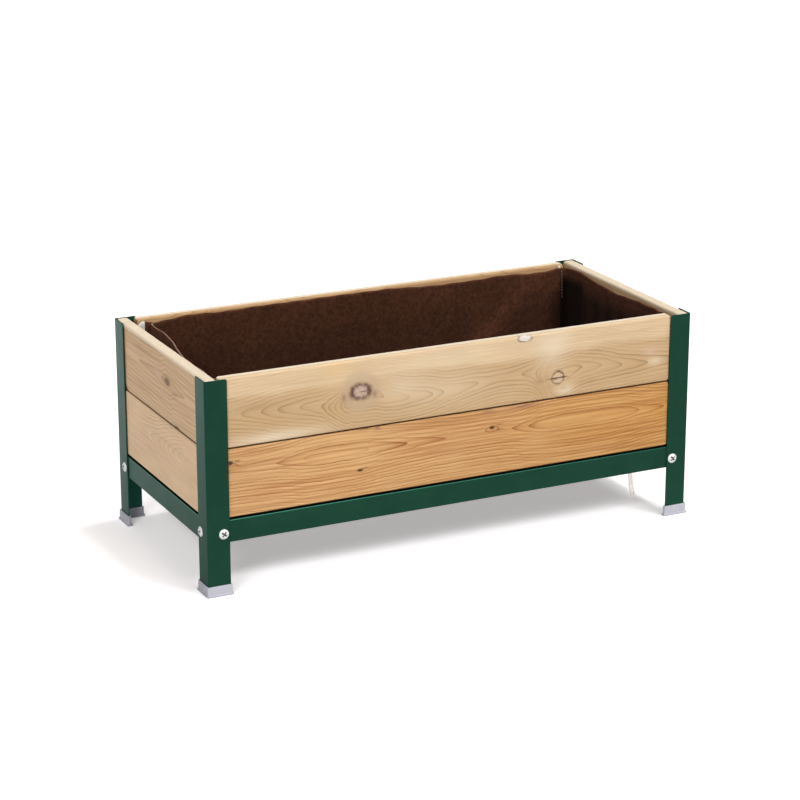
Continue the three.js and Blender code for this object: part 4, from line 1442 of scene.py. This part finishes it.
def hose_surface(route, bore, width):
    """Hose: two rings, the outside and the bore, carried along the route square to it and joined at
    both ends."""
    along = np.gradient(route, axis=0)
    along /= np.linalg.norm(along, axis=1, keepdims=True)
    side = np.array([0.0, 1.0, 0.0])
    other = np.cross(along, side)
    angle = np.linspace(0.0, 2 * math.pi, HOSE_SIDES, endpoint=False)[None, :, None]
    ring = np.cos(angle) * side + np.sin(angle) * other[:, None, :]
    outside = route[:, None, :] + ring * width / 2
    inside = route[:, None, :] + ring * bore / 2
    points = np.concatenate([outside, inside[::-1], outside[:1]])
    return make_mesh("drain_hose_tube", points, grid(len(points), ring.shape[1], wrap=True))


# Bag

# Points on each long and short wall and each corner of the bag's plan; rows of them over the floor, round the
# lower edge and up the walls; the radius of that edge and the bag's room below.
LONG_WALL = 110
SHORT_WALL = 52
CORNER_POINTS = 11
FLOOR_ROWS = 9
CREASE_ROWS = 6
WALL_ROWS = 52
BAG_CREASE = 9 * MM
TRAY_ROOM = 0.1 * MM

# How far the cut edge lies under the board tops: along the back wall, along the right wall, on the others.
BACK_DROP = (
    (-0.399, 0.0078), (-0.336, 0.0028), (-0.272, 0.0048), (-0.197, 0.0023), (-0.118, 0.0032),
    (-0.005, 0.0030), (0.060, 0.0021), (0.150, 0.0078), (0.245, 0.0081), (0.298, 0.0051), (0.347, 0.0090),
    (0.387, 0.0083), (0.420, 0.0048),
)
RIGHT_DROP = (
    (-0.160, 0.0060), (-0.150, 0.0098), (-0.140, 0.0058), (-0.077, 0.0078), (-0.005, 0.0138),
    (0.102, 0.0058), (0.123, 0.0028), (0.170, 0.0048),
)
LEFT_DROP = 0.0088
FRONT_DROP = 0.0045

# Share of the left wall's lean along it, and how far from the back corner the right wall hangs slack.
LEAN = ((-0.100, 0.0), (-0.060, 0.05), (-0.012, 0.29), (0.043, 0.63), (0.111, 0.96), (0.174, 1.0))
SLACK_REACH = 62 * MM

# Powers that keep the lean and the slack to the short walls and the folds to their own, and the power of the
# height with which all of these grow.
SIDE_POWER = 12
WALL_POWER = 24
GROWTH_POWER = 1.5

# Waves, each with its length along a wall for one unit of angle: soft folds of the short and the long walls,
# with the angle at the middle; fine ripples of all walls and of the cut edge, with their height.
SHORT_FOLDS = (31 * MM, 0.6)
LONG_FOLDS = (47 * MM, 1.1)
RIPPLE = (19 * MM, 27 * MM, 0.7 * MM)
EDGE_RIPPLE = (7.1 * MM, 9.3 * MM, 0.5 * MM)


def bag_plan(half_x, half_y, round_corner):
    """Rounded rectangle, points running from the front wall's left end round by the right."""
    in_x, in_y = half_x - round_corner, half_y - round_corner
    centres = (((-in_x, -in_y), 2), ((in_x, -in_y), 3), ((in_x, in_y), 0), ((-in_x, in_y), 1))
    arcs = [rounded_corner(c, round_corner, turn, turn + 1, CORNER_POINTS) for c, turn in centres]
    walls = []
    for here, there, count in zip(arcs, arcs[1:] + arcs[:1], (LONG_WALL, SHORT_WALL) * 2):
        share = np.linspace(0.0, 1.0, count + 1)[1:-1, None]
        walls.append(here[-1] + (there[0] - here[-1]) * share)
    return np.concatenate([part for pair in zip(arcs, walls) for part in pair])


def bag_shape():
    """Half sizes and floor of the bag's inner face and the board tops round it, from the packed boxes."""
    bag = bpy.context.scene.planter_bag
    half_x = -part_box("board_left_upper")[1].x - bag.play
    half_y = -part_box("board_front_upper")[1].y - bag.play
    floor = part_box("liner")[0].z + bag.felt + TRAY_ROOM
    board_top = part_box("board_front_upper")[1].z
    return half_x, half_y, floor, board_top


def smooth_line(value, points, soften):
    """Heights on a line through points, averaged over a short reach to take off its corners."""
    places, heights = zip(*points)
    steps = np.linspace(-soften, soften, 9)
    return np.mean([np.interp(value + step, places, heights) for step in steps], axis=0)


def smooth_step(value, low, high):
    """Cubic step from 0 to 1 as a value goes from low to high."""
    share = np.clip((value - low) / (high - low), 0.0, 1.0)
    return share * share * (3 - 2 * share)


def ripple(x, y, wave, angle=0.0):
    """Sine wave along the walls, from a wave's two lengths and its height."""
    along_x, along_y, height = wave
    return height * np.sin(x / along_x + y / along_y + angle)


def soft_fold(place, wave):
    """Cosine wave from 0 to 1 along a wall."""
    length, start = wave
    return 0.5 - 0.5 * np.cos(place / length + start)


def near_wall(value, half, start=14 * MM, end=2 * MM):
    """0 inside the bag, 1 at a wall half its size away, rising between two distances from that wall."""
    return smooth_step(value, half - start, half - end)


def bag_rim(x, y, half_x, half_y, board_top):
    """Height of the cut edge: the board tops less the drop drawn for the wall that a point lies on, with a
    fine sine wave."""
    on_back = near_wall(y, half_y)
    on_right = near_wall(x, half_x) * (1 - on_back)
    on_left = near_wall(-x, half_x) * (1 - on_back)
    drop = FRONT_DROP + on_back * (smooth_line(x, BACK_DROP, soften=12 * MM) - FRONT_DROP)
    drop = drop + on_right * (smooth_line(y, RIGHT_DROP, soften=6 * MM) - FRONT_DROP)
    drop = drop + on_left * (LEFT_DROP - FRONT_DROP)
    return board_top - drop + ripple(x, y, EDGE_RIPPLE)


def bag_wall(x, y, share):
    """Points of the bag's walls over places of its plan, at shares of their height. Going up, the left wall
    leans in towards the back, the right wall hangs off the back corner, and all walls fold by cosines."""
    bag = bpy.context.scene.planter_bag
    half_x, half_y, floor, board_top = bag_shape()
    left = (half_x - x) / (2 * half_x)
    back = (y + half_y) / (2 * half_y)
    lean = bag.lean * smooth_line(y, LEAN, soften=20 * MM) * np.clip(left, 0, 1) ** SIDE_POWER
    slack = bag.slack * near_wall(y, half_y, SLACK_REACH, 0.0) * np.clip(1 - left, 0, 1) ** SIDE_POWER
    side_wall = np.abs(2 * left - 1) ** WALL_POWER
    long_wall = np.abs(2 * back - 1) ** WALL_POWER
    fold_x = bag.fold * soft_fold(y, SHORT_FOLDS) * side_wall
    fold_y = bag.fold * soft_fold(x, LONG_FOLDS) * long_wall
    uneven = ripple(x, y, RIPPLE, 5 * share) * share * (1.2 - share)
    rim = bag_rim(x, y, half_x, half_y, board_top)
    grown = share**GROWTH_POWER
    wall_x = x + (lean - slack - np.sign(x) * fold_x) * grown - np.sign(x) * uneven * side_wall
    wall_y = y - np.sign(y) * fold_y * grown - np.sign(y) * uneven * long_wall
    wall_z = floor + BAG_CREASE + (rim - floor - BAG_CREASE) * share
    return spatial(wall_x, wall_y, wall_z)


# How dark the painted shade makes the felt in the pocket at the back right corner, down the right wall, at
# that end of the back wall, at the top of all walls and, added to that, further down.
POCKET_DARK = 0.98
RIGHT_DARK = 0.825
CORNER_DARK = 0.72
TOP_DARK = 0.18
DOWN_DARK = 0.24

# Where along the right wall the pocket's painted shade starts and is darkest, and how far under the board
# tops the pocket, the right wall, the corner and all walls do so. The folds' painted shade sets in, going up,
# between two levels counted from the board tops.
POCKET_ALONG = (0.098, 0.122)
POCKET_DOWN = (0.008, 0.034)
RIGHT_DOWN = (0.004, 0.060)
CORNER_DOWN = (0.010, 0.080)
WALLS_DOWN = (0.0, 0.110)
FOLDS_FADE = (-0.130, -0.060)

# Slanting crease in the back wall, spared the walls' painted shade: how far left of the middle it would meet
# the floor, and its half width. Folds down the right wall: their spacing, for each unit of angle, and how
# much they change the painted shade.
CREASE_SHIFT = 1 * MM
CREASE_WIDTH = 28 * MM
FOLD_SPACING = 7 * MM
FOLD_SHADE = 0.09


def bag_hollows(points):
    """Painted shade on the felt: products of smooth steps, for the pocket in the back right corner and, less,
    further down the right wall, which folds by a cosine, and that end of the back wall. All walls get a
    little more painted shade on their way down, but for a bell curve across a slanting crease in the back
    wall."""
    half_x, half_y, _, board_top = bag_shape()
    x, y, z = np.moveaxis(points, -1, 0)
    down = board_top - z
    right = near_wall(x, half_x, 20 * MM, 13 * MM)
    pocket = POCKET_DARK * right * smooth_step(y, *POCKET_ALONG) * smooth_step(down, *POCKET_DOWN)
    folds = 1.0 - FOLD_SHADE * np.cos(y / FOLD_SPACING) * smooth_step(-down, *FOLDS_FADE)
    wall = RIGHT_DARK * folds * right * smooth_step(down, *RIGHT_DOWN)
    at_back = near_wall(y, half_y, 20 * MM, 6 * MM)
    near_right = near_wall(x, half_x, 70 * MM, 16 * MM)
    corner = CORNER_DARK * near_right * at_back * smooth_step(down, *CORNER_DOWN)
    crease = at_back * np.exp(-(((x - z + CREASE_SHIFT) / CREASE_WIDTH) ** 2))
    sunk = (TOP_DARK + DOWN_DARK * smooth_step(down, *WALLS_DOWN)) * (1 - crease)
    return np.maximum(np.maximum(pocket, wall), np.maximum(corner, sunk))


# How far from the left wall the binding of the cut edge starts and is whole.
BINDING = (50 * MM, 34 * MM)


def bag_surface():
    """Felt bag: the plan's loop grown from the floor's middle over the floor, round the lower edge by a
    quarter circle and up the walls."""
    bag = bpy.context.scene.planter_bag
    half_x, half_y, floor, _ = bag_shape()
    x, y = bag_plan(half_x, half_y, bag.corner).T
    from_middle = np.hypot(x, y)
    in_x, in_y = BAG_CREASE * x / from_middle, BAG_CREASE * y / from_middle
    spread = np.linspace(0.0, 1.0, FLOOR_ROWS)[:-1, None]
    bottom = spatial(spread * (x - in_x), spread * (y - in_y), floor)
    angle = np.linspace(0.0, QUARTER, CREASE_ROWS)[:, None]
    inwards = 1 - np.sin(angle)
    edge = spatial(x - in_x * inwards, y - in_y * inwards, floor + BAG_CREASE * (1 - np.cos(angle)))
    walls = bag_wall(x, y, np.linspace(0.0, 1.0, WALL_ROWS)[1:, None])
    points = np.concatenate([bottom, edge, walls])
    bound = near_wall(-points[..., 0], half_x, *BINDING)
    # The felt's painted shade is noted on the points.
    notes = {"hollow": bag_hollows(points).reshape(-1, 1), "bound": bound.reshape(-1, 1)}
    faces = grid(points.shape[0], points.shape[1], wrap=True)[:, ::-1]
    return make_mesh("felt_bag", points, faces, notes, closed=False)


def block_faces(count):
    """Faces of so many separate six-sided blocks, eight points each."""
    block = np.array([[0, 2, 3, 1], [4, 5, 7, 6], [0, 1, 5, 4], [2, 6, 7, 3], [0, 4, 6, 2], [1, 3, 7, 5]])
    return (block[None] + 8 * np.arange(count)[:, None, None]).reshape(-1, 4)


# Stitches: where round the corner they run, between which shares of the wall's height, how many there are,
# their clearance from the felt, and half of a stitch's width, depth and height.
STITCH_TURN = math.radians(60)
STITCH_SPAN = (0.757, 0.975)
STITCHES = 9
STITCH_ROOM = 0.5 * MM
STITCH_HALF = (0.38 * MM, 0.3 * MM, 2.1 * MM)


def stitch_surface():
    """Row of stitches up the back right corner: short blocks on the felt's inner side, one over another."""
    bag = bpy.context.scene.planter_bag
    half_x, half_y, _, _ = bag_shape()
    outwards = np.array([math.cos(STITCH_TURN), math.sin(STITCH_TURN), 0.0])
    across = np.array([outwards[1], -outwards[0], 0.0])
    x, y = np.array([half_x, half_y]) - bag.corner + bag.corner * outwards[:2]
    middle = bag_wall(x, y, np.linspace(*STITCH_SPAN, STITCHES)[:, None]).reshape(-1, 3)
    middle = middle - (bag.felt + STITCH_ROOM) * outwards
    signs = np.array([[a, b, c] for a in (-1, 1) for b in (-1, 1) for c in (-1, 1)])
    block = (signs * STITCH_HALF) @ np.stack([across, outwards, [0.0, 0.0, 1.0]])
    return make_mesh("seam_stitches", middle[:, None, :] + block, block_faces(STITCHES))


# Top lines of the seam's loose ends at the back corners: in from the bag's left or right side and down from
# the board tops. They all end at one level under the board tops.
FOLD_TOP = ((0.0358, 0.0095), (0.0300, 0.0080), (0.0158, 0.0048))
LEFT_TAPE_TOP = ((0.0163, 0.0048), (0.0136, 0.0038), (0.0097, 0.0056), (0.0042, 0.0101), (0.0033, 0.0148))
RIGHT_TAPE_TOP = ((0.0191, 0.0020), (0.0168, 0.0006), (0.0145, 0.0024))
LOOSE_END_DROP = 30 * MM


def loose_end(name, side, top_line, depth, thick):
    """Upright plate along the back wall: a grid of points from a top line to one level, two faces deep."""
    half_x, half_y, _, board_top = bag_shape()
    columns, rows = 16, 6
    across, below = np.array(top_line).T
    share = np.linspace(0.0, 1.0, columns)
    stops = np.linspace(0.0, 1.0, len(top_line))
    x = side * (half_x - np.interp(share, stops, across))[:, None]
    top = board_top - np.interp(share, stops, below)[:, None]
    z = top + (board_top - LOOSE_END_DROP - top) * np.linspace(0.0, 1.0, rows)
    face = spatial(x, half_y + depth, z).reshape(-1, 3)
    points = np.concatenate([face, face + [0.0, thick, 0.0]])
    quads = grid(columns, rows)
    number = np.arange(columns * rows).reshape(columns, rows)
    rim = np.concatenate([number[0], number[1:, -1], number[-1, -2::-1], number[-2:0:-1, 0]])
    after = np.roll(rim, -1)
    skirt = np.stack([rim, after, after + number.size, rim + number.size], axis=1)
    return make_mesh(name, points, np.concatenate([quads, quads[:, ::-1] + number.size, skirt]))


# Operators


class PLANTER_OT_stage(bpy.types.Operator):
    """Camera, floor and soft studio light"""

    bl_idname = "planter.stage"
    bl_label = "Stage"

    def execute(self, context):
        scene = context.scene
        stage = scene.planter_stage
        scene.view_settings.view_transform = "Standard"
        self.add_camera(scene, stage)
        for name, (travel, width) in LIGHTS.items():
            self.add_light(scene, name, getattr(stage, name), width, travel)
        self.add_world(scene, stage)
        self.add_floor(scene)
        return {"FINISHED"}

    def add_camera(self, scene, stage):
        """Camera that looks from its standing point at its aim."""
        data = bpy.data.cameras.new("camera")
        data.lens = stage.lens
        data.sensor_width = 36.0
        data.clip_end = 200.0
        camera = bpy.data.objects.new("camera", data)
        camera.location = stage.stand_point
        look = Vector(stage.aim) - Vector(stage.stand_point)
        camera.rotation_euler = look.to_track_quat("-Z", "Y").to_euler()
        scene.collection.objects.link(camera)
        scene.camera = camera

    def add_light(self, scene, name, strength, width, travel):
        """A wide, even light that travels in one direction."""
        data = bpy.data.lights.new(name, "SUN")
        data.energy = strength
        data.angle = math.radians(width)
        light = bpy.data.objects.new(name, data)
        light.rotation_euler = Vector(travel).to_track_quat("-Z", "Y").to_euler()
        scene.collection.objects.link(light)

    def add_world(self, scene, stage):
        """White all round, dimmer as a light than as a background."""
        world = bpy.data.worlds.new("studio")
        world.use_nodes = True
        scene.world = world
        w = Wiring(world.node_tree)
        ground = world.node_tree.nodes["Background"]
        _, straight = w.rays()
        w.feed(ground.inputs["Color"], WHITE)
        w.feed(ground.inputs["Strength"], w.ease(straight, 0.0, 1.0, stage.fill, 1.0))

    def add_floor(self, scene):
        """Square sheet under the planter."""
        points = FLOOR_HALF * np.array([[-1, -1, 0], [1, -1, 0], [1, 1, 0], [-1, 1, 0]])
        mesh = make_mesh("floor", points, np.array([[0, 1, 2, 3]]), closed=False)
        mesh.materials.append(floor_finish())
        floor = bpy.data.objects.new("floor", mesh)
        scene.collection.objects.link(floor)


class PLANTER_OT_hose(bpy.types.Operator):
    """Drain hose under the spout"""

    bl_idname = "planter.hose"
    bl_label = "Drain hose"

    def execute(self, context):
        fittings = context.scene.planter_fittings
        route = hose_route()
        mesh = hose_surface(route, fittings.hose_bore, fittings.hose_width)
        hose = add_piece(mesh, hose_finish(), "clear_pvc", stands_for=["drain_hose"])
        length = float(np.linalg.norm(np.diff(route, axis=0), axis=1).sum())
        return {"FINISHED"}


class PLANTER_OT_steel(bpy.types.Operator):
    """Folded posts and rails"""

    bl_idname = "planter.steel"
    bl_label = "Posts and rails"

    def execute(self, context):
        steel = context.scene.planter_steel
        coat = coat_finish(tuple(steel.coat))
        for corner in CORNERS:
            piece = add_piece(post_surface(corner, steel), coat, "green_coat", stands_for=[f"post_{corner}"])
            ease_edges(piece, steel.edge)
        # Painted shade for the rails' grooves.
        groove = groove_finish()
        for side in SIDES:
            piece = add_piece(rail_surface(side, steel), coat, "green_coat", stands_for=[f"rail_{side}"])
            piece.data.materials.append(groove)
            ease_edges(piece, steel.edge)
        return {"FINISHED"}


class PLANTER_OT_boards(bpy.types.Operator):
    """Pine boards, each with its own grain"""

    bl_idname = "planter.boards"
    bl_label = "Boards"

    def execute(self, context):
        sizes = context.scene.planter_boards
        for side, outward in SIDES.items():
            for level in LEVELS:
                name = f"{side}_{level}"
                plank = PLANKS[name]
                mesh, half_length, half_height = board_surface(name, outward, sizes)
                tones = [sizes.pale, sizes.pale_heart, sizes.pale_late]
                if plank.honey:
                    tones = [sizes.honey, sizes.honey_heart, sizes.honey_late]
                wood = board_finish(name, plank, half_length, half_height, [tuple(tone) for tone in tones])
                slot = "honey_pine" if plank.honey else "pine"
                add_piece(mesh, wood, slot, stands_for=[f"board_{name}"])
        return {"FINISHED"}


class PLANTER_OT_fittings(bpy.types.Operator):
    """Bolts, foot caps, and the finishes of nuts, screws, brackets, tray and spout"""

    bl_idname = "planter.fittings"
    bl_label = "Fittings"

    def execute(self, context):
        fittings = context.scene.planter_fittings
        zinc = zinc_finish(tuple(fittings.zinc))
        plastic = plastic_finish("foot_plastic_finish", tuple(fittings.foot), roughness=0.42)
        bolts = [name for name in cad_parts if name.startswith("bolt_")]
        for number, node in enumerate(sorted(bolts)):
            outward = SIDES[node.rsplit("_", 1)[1]]
            mesh = bolt_surface(node, outward, self.cross_turn(number), fittings)
            add_piece(mesh, zinc, "zinc", stands_for=[node])
        sheet = context.scene.planter_steel.sheet
        for corner in CORNERS:
            mesh = foot_surface(corner, sheet)
            add_piece(mesh, plastic, "foot_plastic", stands_for=[f"foot_cap_{corner}"])
        self.dress(("nut_", "screw_", "corner_bracket_"), zinc)
        self.dress(("tray",), galvanised_finish())
        self.dress(("drain_spout",), plastic_finish("spout_finish", SPOUT_GREY, roughness=0.4))
        return {"FINISHED"}

    def cross_turn(self, number):
        """Angle at which a bolt was left, another one for each bolt."""
        return 0.6 + 0.3 * math.sin(2.3 * number)

    def dress(self, prefixes, finish):
        """Gives CAD nodes their finish."""
        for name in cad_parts:
            if name.startswith(prefixes):
                bpy.data.objects[name].material_slots[0].material = finish


class PLANTER_OT_bag(bpy.types.Operator):
    """Felt bag that lines the box"""

    bl_idname = "planter.bag"
    bl_label = "Felt bag"

    def execute(self, context):
        bag = context.scene.planter_bag
        brown = tuple(bag.brown)
        felt = felt_finish(brown)
        piece = add_piece(bag_surface(), felt, "felt", body=BAG, stands_for=["liner"])
        piece.data.materials.append(cut_edge_finish(brown))
        wall = piece.modifiers.new("Felt thickness", "SOLIDIFY")
        wall.thickness = bag.felt
        wall.offset = -1.0
        wall.material_offset_rim = 1
        thread = thread_finish("thread_finish", STITCH_THREAD)
        tape = thread_finish("tape_finish", SEAM_TAPE)
        parts = (
            (stitch_surface(), thread),
            (loose_end("seam_fold", -1, FOLD_TOP, depth=0.4 * MM, thick=bag.felt), felt),
            (loose_end("left_tape_end", -1, LEFT_TAPE_TOP, depth=0.1 * MM, thick=3 * MM), tape),
            (loose_end("right_tape_end", 1, RIGHT_TAPE_TOP, depth=0.4 * MM, thick=2 * MM), tape),
        )
        trim = [add_piece(mesh, finish, "felt", body=BAG) for mesh, finish in parts]
        half_x, half_y, floor, board_top = bag_shape()
        tall = board_top - FRONT_DROP - floor
        flat = (2 * half_x + 2 * tall, 2 * half_y + 2 * tall)
        area = 4 * half_x * half_y + 4 * (half_x + half_y) * tall
        return {"FINISHED"}


class PLANTER_PT_panel(bpy.types.Panel):
    """Lists the planter's pieces and settings"""

    bl_idname = "PLANTER_PT_panel"
    bl_label = "Elevated planter"
    bl_space_type = "VIEW_3D"
    bl_region_type = "UI"
    bl_category = "Planter"

    def draw(self, context):
        for operator in OPERATORS:
            self.layout.operator(operator.bl_idname)
        for name, group in SETTINGS.items():
            column = self.layout.column(align=True)
            column.label(text=group.__doc__)
            for setting in group.__annotations__:
                column.prop(getattr(context.scene, name), setting)


OPERATORS = (
    PLANTER_OT_stage,
    PLANTER_OT_hose,
    PLANTER_OT_steel,
    PLANTER_OT_boards,
    PLANTER_OT_fittings,
    PLANTER_OT_bag,
)


def register():
    for group in SETTINGS.values():
        bpy.utils.register_class(group)
    for name, group in SETTINGS.items():
        setattr(bpy.types.Scene, name, bpy.props.PointerProperty(type=group))
    for operator in OPERATORS:
        bpy.utils.register_class(operator)
    bpy.utils.register_class(PLANTER_PT_panel)


def unregister():
    bpy.utils.unregister_class(PLANTER_PT_panel)
    for operator in reversed(OPERATORS):
        bpy.utils.unregister_class(operator)
    for name in SETTINGS:
        delattr(bpy.types.Scene, name)
    for group in reversed(SETTINGS.values()):
        bpy.utils.unregister_class(group)


def main():
    """Builds every piece in order."""
    register()
    bpy.ops.planter.stage()
    bpy.ops.planter.hose()
    bpy.ops.planter.steel()
    bpy.ops.planter.boards()
    bpy.ops.planter.fittings()
    bpy.ops.planter.bag()


if __name__ == "__main__":
    main()
